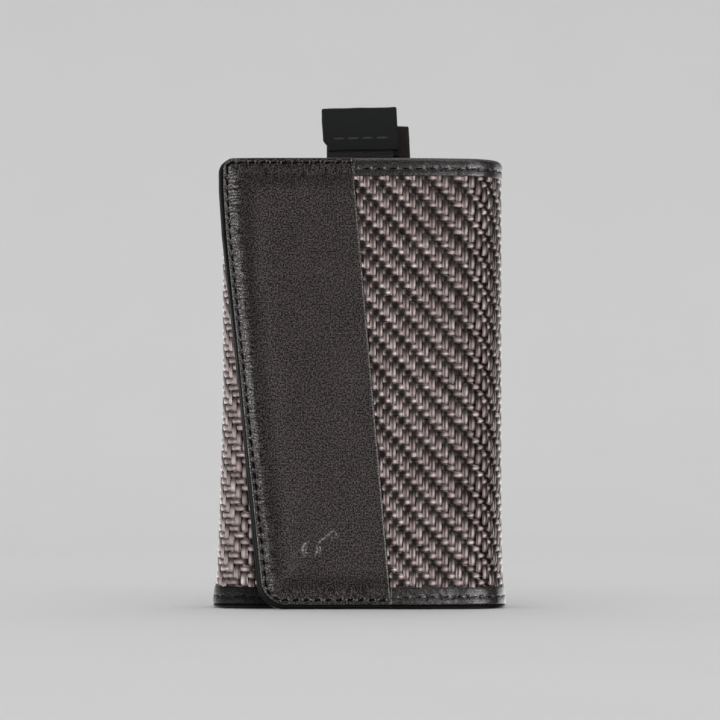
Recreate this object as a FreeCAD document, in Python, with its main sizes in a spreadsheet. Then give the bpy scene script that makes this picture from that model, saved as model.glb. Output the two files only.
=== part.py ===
"""Trifold key organiser: a woven cover folded round a slip-pocket panel and a bar of swivel key hooks.

+X is to the right, +Y to the back and +Z up. The case stands on its lower edge, with its origin at the
middle of that edge's bounding box. Seen from above, the cover runs from the flap's free edge on the
front left, along the front, round the right side, across the back, round the left side and ends in a
short wing under the flap. Every layer of the cover is a band between two offsets from that outline.
"""
import FreeCAD, Part
import math
import os

import Sketcher

DIMENSIONS = [
    ("case_width", 65.6, "overall width, X"),
    ("case_depth", 20.0, "overall depth with the flap closed, Y"),
    ("case_height", 106.0, "height of the cover, Z"),
    ("back_round", 4.5, "outer radius of the two back corners"),
    ("front_round", 10.0, "outer radius where the flap turns to the front, on the right"),
    ("left_round", 8.75, "outer radius where the wing turns to the front, on the left"),
    ("wing_gap", 0.3, "air between the wing and the closed flap"),
    ("wing_end", -6.0, "X of the wing's free edge"),
    ("wing_binding", 3.0, "width of the binding down the wing's free edge"),
    ("fold_gap", 0.15, "half the cut between two panels at a fold"),
    ("band_proud", 0.25, "how far a binding stands proud of the woven cover"),
    ("cover_depth", 1.2, "offset of the cover's inner face"),
    ("stiff_depth", 1.8, "offset of the stiffener's inner face"),
    ("shell_thick", 2.2, "offset of the lining's inner face, the whole wall"),
    ("band_height", 4.4, "height of the leather bindings"),
    ("stiff_margin", 3.0, "how far stiffeners stop short of the edges"),
    ("lining_margin", 0.3, "how far linings stop short of the edges"),
    ("edge_top", -33.0, "X of the flap's free edge at the top"),
    ("edge_low", -24.3, "X of the flap's free edge at the bottom"),
    ("edge_inset", 1.0, "how far the flap's leather stops short of its lining"),
    ("edge_corner", 6.5, "corner radius of the flap's free edge"),
    ("seam_top", -1.9, "X of the seam between leather and weave at the top"),
    ("seam_low", 7.3, "X of that seam at the bottom"),
    ("magnet_radius", 4.0, "closure magnets"),
    ("magnet_edge", -17.0, "X of the closure magnets"),
    ("magnet_low", 27.0, "Z of the lower magnets"),
    ("magnet_high", 79.0, "Z of the upper magnets"),
    ("pocket_half", 28.2, "half the width of the pocket panels"),
    ("pocket_gap", 2.2, "clear depth of each slip pocket"),
    ("pocket_seam", 0.8, "width of the glued seam round each pocket"),
    ("pocket_foot", 3.0, "Z of the pocket panels' lower edge"),
    ("divider_thick", 0.6, "divider between the two pockets"),
    ("divider_top", 103.0, "Z of the divider's upper edge"),
    ("panel_thick", 0.9, "front wall of the pockets"),
    ("panel_top", 101.0, "Z of the front wall's upper edge"),
    ("bar_half", 23.0, "half the length of the key bar"),
    ("bar_low", 84.0, "Z of the key bar's flange"),
    ("bar_high", 97.0, "Z of the key bar's upper edge"),
    ("bar_thick", 1.0, "sheet of the key bar"),
    ("bar_reach", 6.2, "how far the flange stands out from the front wall"),
    ("bar_corner", 2.5, "corner radius of the key bar"),
    ("rivet_offset", 19.0, "X of the two key bar rivets"),
    ("rivet_height", 91.5, "Z of the key bar rivets"),
    ("rivet_radius", 1.1, "rivet shank"),
    ("rivet_head", 2.3, "rivet head"),
    ("rivet_dome", 0.8, "height of the rivet head"),
    ("rivet_tail", 0.3, "height of the rivet tail in the front pocket"),
    ("tail_radius", 1.84, "rivet tail"),
    ("hook_pitch", 11.0, "spacing of the key hooks"),
    ("hook_axis", -1.7, "Y of the swivel axes"),
    ("hook_half", 3.2, "half the width of a hook"),
    ("hook_low", 62.4, "Z of a hook's lowest point"),
    ("hook_top", 82.4, "Z of the top of a hook's loop"),
    ("hook_thick", 1.2, "plate of a hook"),
    ("hook_wall", 1.4, "width of the metal round a hook's eye"),
    ("hook_flat", 0.1, "half the straight left between two corner rounds"),
    ("mouth_cut", 0.05, "how far a hook's mouth cuts into its eye"),
    ("stem_radius", 1.0, "swivel stem"),
    ("stem_play", 0.05, "running clearance of the swivel stem"),
    ("stem_head", 1.8, "swivel collar and head"),
    ("head_thick", 0.8, "swivel head on top of the flange"),
    ("stem_root", 0.3, "how far the swivel parts run into each other"),
    ("nose_top", 67.5, "Z where a hook's nose ends and its gate begins"),
    ("pin_height", 79.0, "Z of the gate pins"),
    ("pin_radius", 0.35, "gate pin"),
    ("gate_thick", 1.96, "gate over its two cheeks"),
    ("gate_slot", 1.26, "slot between a gate's cheeks"),
    ("slot_foot", 1.55, "from the gate pin down to the slot's lower end"),
    ("gate_inner", 1.3, "from a hook's right side in to the gate's inner face"),
    ("gate_outer", 0.1, "from a hook's right side in to the gate's outer face"),
    ("gate_tip", 0.3, "air between a gate's tip and the hook's nose"),
    ("gate_root", 2.0, "from the gate pin down to the top of the gate's tongue"),
    ("cheek_inner", 1.6, "from a hook's right side in to the cheeks' inner edge"),
    ("cheek_outer", 0.1, "how far the cheeks stand out past the hook's right side"),
    ("cheek_low", 3.5, "from the gate pin down to the cheeks' lower end"),
    ("cheek_high", 1.1, "from the gate pin up to the cheeks' upper end"),
    ("cheek_corner", 0.7, "corner radius of the cheeks"),
    ("pin_proud", 0.15, "how far each end of a gate pin stands out"),
    ("ribbon_width", 16.0, "pull ribbons"),
    ("ribbon_thick", 0.4, "pull ribbons"),
    ("ribbon_play", 0.1, "from a ribbon's fixed leg to the wall it is sewn to"),
    ("ribbon_space", 0.45, "between the two legs of a ribbon"),
    ("ribbon_low", 9.0, "Z of the centre of a ribbon's fold"),
    ("ribbon_leg", 3.0, "straight legs of the fold before it joins the long ones"),
    ("ribbon_sewn", 99.0, "Z where the fixed legs are sewn"),
    ("tab_width", 18.0, "pull tabs"),
    ("tab_height", 10.4, "pull tabs"),
    ("tab_thick", 1.8, "pull tabs"),
    ("tab_sheet", 0.8, "leather of the pull tabs"),
    ("front_tab_low", 109.4, "Z of the front tab's lower edge"),
    ("rear_tab_low", 105.5, "Z of the rear tab's lower edge"),
    ("rear_tab_shift", 3.0, "X of the rear tab"),
]
HOOK_COUNT = 4

HALF_WIDTH = "(dims.case_width / 2)"
HALF_DEPTH = "(dims.case_depth / 2)"
BACK_X = f"({HALF_WIDTH} - dims.back_round)"
BACK_Y = f"({HALF_DEPTH} - dims.back_round)"
FRONT_X = f"({HALF_WIDTH} - dims.front_round)"
FRONT_Y = f"(dims.front_round - {HALF_DEPTH})"
LEFT_X = f"(dims.left_round - {HALF_WIDTH})"
LEFT_Y = f"(dims.left_round + dims.shell_thick + dims.wing_gap - {HALF_DEPTH})"
FLAP_ROUND = f"({HALF_DEPTH} + {LEFT_Y})"
FOLD_ANGLE = 45
FREE_ANGLE = 219
OUTSIDE = 60
THROUGH = f"{4 * OUTSIDE}"
SAME_PLACE = 1e-3
SAME_VOLUME = 1e-4

# Planes of the layers inside, from the back towards the front.
BACK_FACE = f"({HALF_DEPTH} - dims.shell_thick)"
DIVIDER_BACK = f"({BACK_FACE} - dims.pocket_gap)"
DIVIDER_FRONT = f"({DIVIDER_BACK} - dims.divider_thick)"
PANEL_BACK = f"({DIVIDER_FRONT} - dims.pocket_gap)"
PANEL_FRONT = f"({PANEL_BACK} - dims.panel_thick)"
BAR_FRONT = f"({PANEL_FRONT} - dims.bar_thick)"

# Layers of the cover, as offsets from the outline.
BINDING = ("0", "dims.cover_depth")
COVER = ("dims.band_proud", "dims.cover_depth")
STIFFENER = ("dims.cover_depth", "dims.stiff_depth")
LINING = ("dims.stiff_depth", "dims.shell_thick")

doc = FreeCAD.newDocument("key_organiser")
dims = doc.addObject("Spreadsheet::Sheet", "dims")
subparts = []


def fill_sheet():
    """Writes each driving dimension to a cell, with its alias and what it is."""
    for row, (alias, size, meaning) in enumerate(DIMENSIONS, start=1):
        dims.set(f"A{row}", alias)
        dims.set(f"B{row}", str(size))
        dims.set(f"C{row}", meaning)
        dims.setAlias(f"B{row}", alias)
    doc.recompute()


def value(text):
    """The number that an expression gives now."""
    return float(dims.evalExpression(str(text)))


def new_body(label):
    """A PartDesign body that is one sub-part."""
    body = doc.addObject("PartDesign::Body", label)
    body.Label = label
    body.Placement = FreeCAD.Placement()
    subparts.append(body)
    return body


def new_sketch(body, plane, level="0"):
    """A sketch on one of the body's own planes, moved along the plane's normal."""
    sketch = body.newObject("Sketcher::SketchObject", f"{body.Name}_sketch")
    support = [f for f in body.Origin.OriginFeatures if f.Role == f"{plane}_Plane"][0]
    sketch.AttachmentSupport = (support, [""])
    sketch.MapMode = "FlatFace"
    sketch.setExpression("AttachmentOffset.Base.z", str(level))
    return sketch


def bind(sketch, kind, element, point, text):
    """One constraint whose datum follows an expression."""
    if kind == "Radius":
        index = sketch.addConstraint(Sketcher.Constraint(kind, element, value(text)))
    else:
        index = sketch.addConstraint(Sketcher.Constraint(kind, -1, 1, element, point, value(text)))
    sketch.setExpression(f"Constraints[{index}]", str(text))


def arc_between(start, end, radius, turn):
    """The minor arc from start to end, counter-clockwise when turn is 1 and clockwise when it is -1."""
    middle = (start + end) / 2
    chord = end - start
    rise = math.sqrt(max(radius**2 - chord.Length**2 / 4, 0.0))
    side = FreeCAD.Vector(-chord.y, chord.x, 0).normalize() * turn
    centre = middle + side * rise
    first, last = (start, end) if turn > 0 else (end, start)
    angles = [math.atan2(p.y - centre.y, p.x - centre.x) for p in (first, last)]
    circle = Part.Circle(centre, FreeCAD.Vector(0, 0, 1), radius)
    return Part.ArcOfCircle(circle, angles[0], angles[1])


def outline(sketch, corners):
    """A closed outline. A corner is (x, y), or (x, y, radius, turn) when an arc leads to the next one."""
    first = sketch.GeometryCount
    places = [FreeCAD.Vector(value(c[0]), value(c[1]), 0) for c in corners]
    starts, ends = [], []
    for k, corner in enumerate(corners):
        start, end = places[k], places[(k + 1) % len(corners)]
        if len(corner) == 4:
            sketch.addGeometry(arc_between(start, end, value(corner[2]), corner[3]), False)
            starts.append(1 if corner[3] > 0 else 2)
        else:
            sketch.addGeometry(Part.LineSegment(start, end), False)
            starts.append(1)
        ends.append(3 - starts[-1])
    for k, corner in enumerate(corners):
        following = (k + 1) % len(corners)
        sketch.addConstraint(
            Sketcher.Constraint("Coincident", first + k, ends[k], first + following, starts[following])
        )
        bind(sketch, "DistanceX", first + k, starts[k], corner[0])
        bind(sketch, "DistanceY", first + k, starts[k], corner[1])
        if len(corner) == 4:
            bind(sketch, "Radius", first + k, None, corner[2])


def rectangle(sketch, left, right, low, high):
    outline(sketch, [(left, low), (right, low), (right, high), (left, high)])


def rounded_rectangle(sketch, left, right, low, high, radius):
    outline(
        sketch,
        [
            (f"{left} + {radius}", low),
            (f"{right} - {radius}", low, radius, 1),
            (right, f"{low} + {radius}"),
            (right, f"{high} - {radius}", radius, 1),
            (f"{right} - {radius}", high),
            (f"{left} + {radius}", high, radius, 1),
            (left, f"{high} - {radius}"),
            (left, f"{low} + {radius}", radius, 1),
        ],
    )


def disc(sketch, x, y, radius):
    place = FreeCAD.Vector(value(x), value(y), 0)
    element = sketch.addGeometry(Part.Circle(place, FreeCAD.Vector(0, 0, 1), value(radius)), False)
    bind(sketch, "DistanceX", element, 3, x)
    bind(sketch, "DistanceY", element, 3, y)
    bind(sketch, "Radius", element, None, radius)


def pad(body, sketch, length, symmetric=False):
    """Extrudes a sketch along its normal, or half each way."""
    feature = body.newObject("PartDesign::Pad", f"{body.Name}_pad")
    feature.Profile = sketch
    feature.SideType = "Symmetric" if symmetric else "One side"
    feature.setExpression("Length", str(length))
    body.Tip = feature


def pocket(body, sketch, length=THROUGH):
    """Cuts a sketch out of the body, half of the length each way, and checks that it cut."""
    doc.recompute()
    before = body.Shape.Volume
    feature = body.newObject("PartDesign::Pocket", f"{body.Name}_pocket")
    feature.Profile = sketch
    feature.SideType = "Symmetric"
    feature.setExpression("Length", str(length))
    body.Tip = feature
    doc.recompute()
    if body.Shape.Volume > before - SAME_VOLUME:
        raise RuntimeError(f"a pocket in {body.Label} cut nothing")


def slab(label, left, right, front, back, low, high):
    """A flat panel with square edges."""
    body = new_body(label)
    sketch = new_sketch(body, "XY", low)
    rectangle(sketch, left, right, front, back)
    pad(body, sketch, f"({high}) - ({low})")
    return body


# The cover's outline, panel by panel, at an offset inwards. Each corner is (x, y) with the radius and
# turn of the arc that leads to the next one.


def round_corner(x, y, radius, angle):
    return f"{x} + ({radius}) * cos({angle})", f"{y} + ({radius}) * sin({angle})"


def cut_angle(radius):
    """The angle, in degrees, that half the cut at a fold takes from an arc."""
    return f"dims.fold_gap / ({radius}) * 180 / pi"


def back_path(offset):
    """From the fold at the back right, across the back and round the left side to the wing's fold."""
    corner = f"(dims.back_round - ({offset}))"
    left = f"(dims.left_round - ({offset}))"
    start = f"{FOLD_ANGLE} + {cut_angle('dims.back_round')}"
    end = f"{180 + FOLD_ANGLE} - {cut_angle('dims.left_round')}"
    return [
        (*round_corner(BACK_X, BACK_Y, corner, start), corner, 1),
        (BACK_X, f"{HALF_DEPTH} - ({offset})"),
        (f"-{BACK_X}", f"{HALF_DEPTH} - ({offset})", corner, 1),
        (f"({offset}) - {HALF_WIDTH}", BACK_Y),
        (f"({offset}) - {HALF_WIDTH}", LEFT_Y, left, 1),
        round_corner(LEFT_X, LEFT_Y, left, end),
    ]


def side_path(offset):
    """From the flap's fold at the front right, back along the right side to the fold at the back."""
    corner = f"(dims.back_round - ({offset}))"
    front = f"(dims.front_round - ({offset}))"
    start = f"{-FOLD_ANGLE} + {cut_angle('dims.front_round')}"
    end = f"{FOLD_ANGLE} - {cut_angle('dims.back_round')}"
    return [
        (*round_corner(FRONT_X, FRONT_Y, front, start), front, 1),
        (f"{HALF_WIDTH} - ({offset})", FRONT_Y),
        (f"{HALF_WIDTH} - ({offset})", BACK_Y, corner, 1),
        round_corner(BACK_X, BACK_Y, corner, end),
    ]


def flap_path(offset):
    """From the free edge, which bends round the left side, along the front to the flap's fold."""
    left = f"({FLAP_ROUND} - ({offset}))"
    front = f"(dims.front_round - ({offset}))"
    end = f"{-FOLD_ANGLE} - {cut_angle('dims.front_round')}"
    return [
        (*round_corner(LEFT_X, LEFT_Y, left, FREE_ANGLE), left, 1),
        (LEFT_X, f"({offset}) - {HALF_DEPTH}"),
        (FRONT_X, f"({offset}) - {HALF_DEPTH}", front, 1),
        round_corner(FRONT_X, FRONT_Y, front, end),
    ]


def wing_path(offset, end="dims.wing_end"):
    """From the wing's fold at the front left to its free edge under the flap."""
    left = f"(dims.left_round - ({offset}))"
    start = f"{180 + FOLD_ANGLE} + {cut_angle('dims.left_round')}"
    return [
        (*round_corner(LEFT_X, LEFT_Y, left, start), left, 1),
        (LEFT_X, f"{LEFT_Y} - {left}"),
        (end, f"{LEFT_Y} - {left}"),
    ]


def layer(label, path, offsets, low, high):
    """One layer of the cover: the band between two offsets from a path, from one height to another."""
    outer, inner = path(offsets[0]), path(offsets[1])
    corners = list(outer)
    for k in range(len(inner) - 1, -1, -1):
        before = inner[k - 1] if k else ()
        arc = (before[2], -1) if len(before) == 4 else ()
        corners.append((inner[k][0], inner[k][1], *arc))
    body = new_body(label)
    sketch = new_sketch(body, "XY", low)
    outline(sketch, corners)
    pad(body, sketch, f"({high}) - ({low})")
    return body


def bindings(panel, path):
    """The leather bindings along the top and bottom of one panel."""
    high = "dims.case_height"
    return [
        layer(f"{panel}_top_binding", path, BINDING, f"{high} - dims.band_height", high),
        layer(f"{panel}_bottom_binding", path, BINDING, "0", "dims.band_height"),
    ]


def woven_cover(panel, path):
    return layer(
        f"{panel}_woven_cover", path, COVER, "dims.band_height", "dims.case_height - dims.band_height"
    )


def stiffener(label, path):
    margin = "dims.stiff_margin"
    return layer(label, path, STIFFENER, margin, f"dims.case_height - {margin}")


def lining(panel, path):
    margin = "dims.lining_margin"
    return layer(f"{panel}_lining", path, LINING, margin, f"dims.case_height - {margin}")


def back_panel():
    """The fixed panel: the back and the left side."""
    woven_cover("back", back_path)
    bindings("back", back_path)
    lining("back", back_path)
    slab(
        "back_stiffener",
        f"-{BACK_X}",
        BACK_X,
        f"{HALF_DEPTH} - dims.stiff_depth",
        f"{HALF_DEPTH} - dims.cover_depth",
        "dims.stiff_margin",
        "dims.case_height - dims.stiff_margin",
    )


def side_panel():
    """The right side, which folds out from the back."""
    woven_cover("side", side_path)
    bindings("side", side_path)
    stiffener("side_padding", side_path)
    lining("side", side_path)


def at_height(low, top, height):
    """X at a height on a straight line that is at low at the bottom of the case and at top at its top."""
    return f"({low} + ({top} - {low}) * ({height}) / dims.case_height)"


def seam_x(height):
    return at_height("dims.seam_low", "dims.seam_top", height)


def trim_at_seam(body, keep_left):
    """Cuts a flap layer at the slanting seam, and keeps one side of it."""
    low, high = f"{-OUTSIDE}", f"dims.case_height + {OUTSIDE}"
    far = f"{OUTSIDE}" if keep_left else f"{-OUTSIDE}"
    sketch = new_sketch(body, "XZ")
    outline(sketch, [(far, low), (seam_x(low), low), (seam_x(high), high), (far, high)])
    pocket(body, sketch)


def trim_free_edge(body, inset, low, high):
    """Cuts a flap layer to the slanting free edge with its two round corners."""
    radius = "dims.edge_corner"

    def edge_x(height):
        return f"{at_height('dims.edge_low', 'dims.edge_top', height)} + {inset}"

    sketch = new_sketch(body, "XZ")
    outline(
        sketch,
        [
            (f"{-OUTSIDE}", f"{-OUTSIDE}"),
            (f"{edge_x(low)} + {radius}", f"{-OUTSIDE}"),
            (f"{edge_x(low)} + {radius}", low, radius, -1),
            (edge_x(f"{low} + {radius}"), f"{low} + {radius}"),
            (edge_x(f"{high} - {radius}"), f"{high} - {radius}", radius, -1),
            (f"{edge_x(high)} + {radius}", high),
            (f"{edge_x(high)} + {radius}", f"dims.case_height + {OUTSIDE}"),
            (f"{-OUTSIDE}", f"dims.case_height + {OUTSIDE}"),
        ],
    )
    pocket(body, sketch)


def magnet_holes(body):
    """Holes for the two closure magnets through a stiffener."""
    sketch = new_sketch(body, "XZ")
    for height in ("dims.magnet_low", "dims.magnet_high"):
        disc(sketch, "dims.magnet_edge", height, "dims.magnet_radius")
    pocket(body, sketch)


def magnets(label, back):
    """Two disc magnets that fill the holes in a stiffener, with their rear faces at Y back."""
    discs = []
    for height in ("dims.magnet_low", "dims.magnet_high"):
        magnet = doc.addObject("Part::Cylinder", f"{label}_disc")
        magnet.Placement = FreeCAD.Placement(
            FreeCAD.Vector(), FreeCAD.Rotation(FreeCAD.Vector(1, 0, 0), 90)
        )
        magnet.setExpression("Radius", "dims.magnet_radius")
        magnet.setExpression("Height", "dims.stiff_depth - dims.cover_depth")
        magnet.setExpression(".Placement.Base.x", "dims.magnet_edge")
        magnet.setExpression(".Placement.Base.y", back)
        magnet.setExpression(".Placement.Base.z", height)
        discs.append(magnet)
    pair = doc.addObject("Part::Compound", label)
    pair.Label = label
    pair.Links = discs
    subparts.append(pair)


def flap_panel():
    """The closing flap: weave from the fold to the slanting seam, then leather to the free edge."""
    trim_at_seam(woven_cover("flap", flap_path), keep_left=False)
    for binding in bindings("flap", flap_path):
        trim_at_seam(binding, keep_left=False)

    margin = "dims.lining_margin"
    high = f"(dims.case_height - {margin})"
    leather = layer("flap_leather_panel", flap_path, BINDING, margin, high)
    trim_at_seam(leather, keep_left=True)
    trim_free_edge(leather, "dims.edge_inset", f"{margin}", high)
    trim_free_edge(lining("flap", flap_path), "0", margin, high)

    margin = "dims.stiff_margin"
    padding = stiffener("flap_padding", flap_path)
    trim_free_edge(padding, margin, margin, f"(dims.case_height - {margin})")
    magnet_holes(padding)
    magnets("flap_magnets", f"dims.stiff_depth - {HALF_DEPTH}")


def wing_panel():
    """The short wing under the flap, with a leather binding down its free edge."""
    face = "dims.shell_thick + dims.wing_gap"

    def cover_path(offset):
        return wing_path(offset, "dims.wing_end - dims.wing_binding")

    woven_cover("wing", cover_path)
    bindings("wing", cover_path)
    slab(
        "wing_edge_binding",
        "dims.wing_end - dims.wing_binding",
        "dims.wing_end",
        f"{face} - {HALF_DEPTH}",
        f"{face} + dims.cover_depth - {HALF_DEPTH}",
        "0",
        "dims.case_height",
    )
    board = slab(
        "wing_stiffener",
        LEFT_X,
        "dims.wing_end",
        f"{face} + dims.cover_depth - {HALF_DEPTH}",
        f"{face} + dims.stiff_depth - {HALF_DEPTH}",
        "dims.stiff_margin",
        "dims.case_height - dims.stiff_margin",
    )
    magnet_holes(board)
    magnets("wing_magnets", f"{face} + dims.stiff_depth - {HALF_DEPTH}")
    lining("wing", wing_path)


def pockets():
    """The two slip pockets on the back panel: a front wall, a divider and the seams that close them."""
    half = "dims.pocket_half"
    panel = slab(
        "pocket_front_wall", f"-{half}", half, PANEL_FRONT, PANEL_BACK, "dims.pocket_foot", "dims.panel_top"
    )
    sketch = new_sketch(panel, "XZ")
    for x in ("-dims.rivet_offset", "dims.rivet_offset"):
        disc(sketch, x, "dims.rivet_height", "dims.rivet_radius")
    pocket(panel, sketch)
    slab(
        "pocket_divider",
        f"-{half}",
        half,
        DIVIDER_FRONT,
        DIVIDER_BACK,
        "dims.pocket_foot",
        "dims.divider_top",
    )
    for name, front, back in (
        ("front_pocket_seam", PANEL_BACK, DIVIDER_FRONT),
        ("rear_pocket_seam", DIVIDER_BACK, BACK_FACE),
    ):
        seam = slab(name, f"-{half}", half, front, back, "dims.pocket_foot", "dims.panel_top")
        sketch = new_sketch(seam, "XZ")
        inner = f"({half} - dims.pocket_seam)"
        rectangle(sketch, f"-{inner}", inner, "dims.pocket_foot + dims.pocket_seam", f"2 * {OUTSIDE}")
        pocket(seam, sketch)


def hook_x(k):
    """X of one hook's swivel axis, counted from 1 on the left."""
    return f"(dims.hook_pitch * {k - (HOOK_COUNT + 1) / 2})"


def key_bar():
    """An angle of sheet metal: riveted to the front wall, with the hooks hanging in its flange."""
    bar = new_body("key_bar")
    section = new_sketch(bar, "YZ")
    outline(
        section,
        [
            (f"{PANEL_FRONT} - dims.bar_reach", "dims.bar_low"),
            (PANEL_FRONT, "dims.bar_low"),
            (PANEL_FRONT, "dims.bar_high"),
            (BAR_FRONT, "dims.bar_high"),
            (BAR_FRONT, "dims.bar_low + dims.bar_thick"),
            (f"{PANEL_FRONT} - dims.bar_reach", "dims.bar_low + dims.bar_thick"),
        ],
    )
    pad(bar, section, "2 * dims.bar_half", symmetric=True)

    holes = new_sketch(bar, "XY", "dims.bar_low")
    for k in range(1, HOOK_COUNT + 1):
        disc(holes, hook_x(k), "dims.hook_axis", "dims.stem_radius + dims.stem_play")
    pocket(bar, holes, "4 * dims.bar_thick")
    rivets = new_sketch(bar, "XZ")
    for x in ("-dims.rivet_offset", "dims.rivet_offset"):
        disc(rivets, x, "dims.rivet_height", "dims.rivet_radius")
    pocket(bar, rivets)

    top = value("dims.bar_high")
    half = value("dims.bar_half")
    front = value(f"{PANEL_FRONT} - dims.bar_reach")
    sheet = value("dims.bar_thick")
    corners = []
    for number, edge in enumerate(bar.Shape.Edges, start=1):
        places = [v.Point for v in edge.Vertexes]
        at_end = all(abs(abs(p.x) - half) < SAME_PLACE for p in places)
        upper = all(abs(p.z - top) < SAME_PLACE for p in places)
        outer = all(abs(p.y - front) < SAME_PLACE for p in places)
        if at_end and (upper or outer) and abs(edge.Length - sheet) < SAME_PLACE:
            corners.append(f"Edge{number}")
    cut = bar.Tip
    rounding = bar.newObject("PartDesign::Fillet", "key_bar_corners")
    rounding.Base = (cut, corners)
    rounding.setExpression("Radius", "dims.bar_corner")
    bar.Tip = rounding


def key_bar_rivets():
    """Two rivets with domed heads in front and flat tails inside the front pocket."""
    rivet = doc.addObject("PartDesign::Body", "key_bar_rivet")
    profile = new_sketch(rivet, "XY", "dims.rivet_height")
    axis = "dims.rivet_offset"
    dome = "(dims.rivet_head ^ 2 + dims.rivet_dome ^ 2) / (2 * dims.rivet_dome)"
    outline(
        profile,
        [
            (axis, f"{BAR_FRONT} - dims.rivet_dome", dome, 1),
            (f"{axis} + dims.rivet_head", BAR_FRONT),
            (f"{axis} + dims.rivet_radius", BAR_FRONT),
            (f"{axis} + dims.rivet_radius", PANEL_BACK),
            (f"{axis} + dims.tail_radius", PANEL_BACK),
            (f"{axis} + dims.tail_radius", f"{PANEL_BACK} + dims.rivet_tail"),
            (axis, f"{PANEL_BACK} + dims.rivet_tail"),
        ],
    )
    doc.recompute()
    turned = rivet.newObject("PartDesign::Revolution", "key_bar_rivet_turned")
    turned.Profile = profile
    turned.ReferenceAxis = (profile, ["Edge7"])
    turned.Angle = 360
    mirrored = doc.addObject("Part::Mirroring", "key_bar_rivet_left")
    mirrored.Source = rivet
    mirrored.Normal = FreeCAD.Vector(1, 0, 0)
    pair = doc.addObject("Part::Compound", "key_bar_rivets")
    pair.Label = "key_bar_rivets"
    pair.Links = [rivet, mirrored]
    subparts.append(pair)


def upright_disc(body, k, low, high, radius):
    """Adds a round boss on a hook's swivel axis."""
    sketch = new_sketch(body, "XY", low)
    disc(sketch, hook_x(k), "dims.hook_axis", radius)
    pad(body, sketch, f"({high}) - ({low})")


def hook_plane(body):
    """A sketch in the middle plane of the hooks."""
    return new_sketch(body, "XZ", "-dims.hook_axis")


def key_hook(k):
    """A swivel hook: a flat loop with an open side, under a stem that turns in the key bar."""
    hook = new_body(f"key_hook_{k}")
    x = hook_x(k)
    right = f"({x} + dims.hook_half)"
    inner = "(dims.hook_half - dims.hook_wall)"

    plate = hook_plane(hook)
    rounded_rectangle(
        plate,
        f"{x} - dims.hook_half",
        right,
        "dims.hook_low",
        "dims.hook_top",
        "(dims.hook_half - dims.hook_flat)",
    )
    pad(hook, plate, "dims.hook_thick", symmetric=True)
    eye = hook_plane(hook)
    rounded_rectangle(
        eye,
        f"{x} - {inner}",
        f"{x} + {inner}",
        "dims.hook_low + dims.hook_wall",
        "dims.hook_top - dims.hook_wall",
        f"({inner} - dims.hook_flat)",
    )
    pocket(hook, eye, "4 * dims.hook_thick")
    mouth = hook_plane(hook)
    eye_side = f"{x} + {inner} - dims.mouth_cut"
    rectangle(mouth, eye_side, f"{right} + dims.hook_wall", "dims.nose_top", "dims.pin_height")
    pocket(hook, mouth, "4 * dims.hook_thick")

    knuckle = hook_plane(hook)
    pin_x = f"{right} - dims.hook_wall / 2"
    disc(knuckle, pin_x, "dims.pin_height", "dims.hook_wall / 2")
    pad(hook, knuckle, "dims.hook_thick", symmetric=True)
    hole = hook_plane(hook)
    disc(hole, pin_x, "dims.pin_height", "dims.pin_radius")
    pocket(hook, hole, "4 * dims.hook_thick")

    flange_top = "dims.bar_low + dims.bar_thick"
    collar_top = "dims.bar_low - dims.stem_play"
    head_low = f"{flange_top} + dims.stem_play"
    stem_low = f"{collar_top} - dims.stem_root"
    stem_high = f"{head_low} + dims.stem_root"
    upright_disc(hook, k, "dims.hook_top - dims.stem_root", collar_top, "dims.stem_head")
    upright_disc(hook, k, stem_low, stem_high, "dims.stem_radius")
    upright_disc(hook, k, head_low, f"{head_low} + dims.head_thick", "dims.stem_head")


def hook_gate(k):
    """The sprung gate that closes a hook's open side, with two cheeks on the gate pin."""
    gate = new_body(f"hook_gate_{k}")
    x = hook_x(k)
    right = f"({x} + dims.hook_half)"
    pin_x = f"{right} - dims.hook_wall / 2"
    tongue = hook_plane(gate)
    rectangle(
        tongue,
        f"{right} - dims.gate_inner",
        f"{right} - dims.gate_outer",
        "dims.nose_top + dims.gate_tip",
        "dims.pin_height - dims.gate_root",
    )
    pad(gate, tongue, "dims.hook_thick", symmetric=True)
    cheeks = hook_plane(gate)
    rounded_rectangle(
        cheeks,
        f"{right} - dims.cheek_inner",
        f"{right} + dims.cheek_outer",
        "dims.pin_height - dims.cheek_low",
        "dims.pin_height + dims.cheek_high",
        "dims.cheek_corner",
    )
    pad(gate, cheeks, "dims.gate_thick", symmetric=True)

    slot = new_sketch(gate, "YZ", x)
    rectangle(
        slot,
        "dims.hook_axis - dims.gate_slot / 2",
        "dims.hook_axis + dims.gate_slot / 2",
        "dims.pin_height - dims.slot_foot",
        "dims.pin_height + 2 * dims.cheek_high",
    )
    pocket(gate, slot, "4 * dims.hook_half")
    hole = hook_plane(gate)
    disc(hole, pin_x, "dims.pin_height", "dims.pin_radius + dims.stem_play")
    pocket(gate, hole, "4 * dims.gate_thick")

    pin = new_body(f"hook_gate_pin_{k}")
    rod = hook_plane(pin)
    disc(rod, pin_x, "dims.pin_height", "dims.pin_radius")
    pad(pin, rod, "dims.gate_thick + 2 * dims.pin_proud", symmetric=True)


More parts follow.
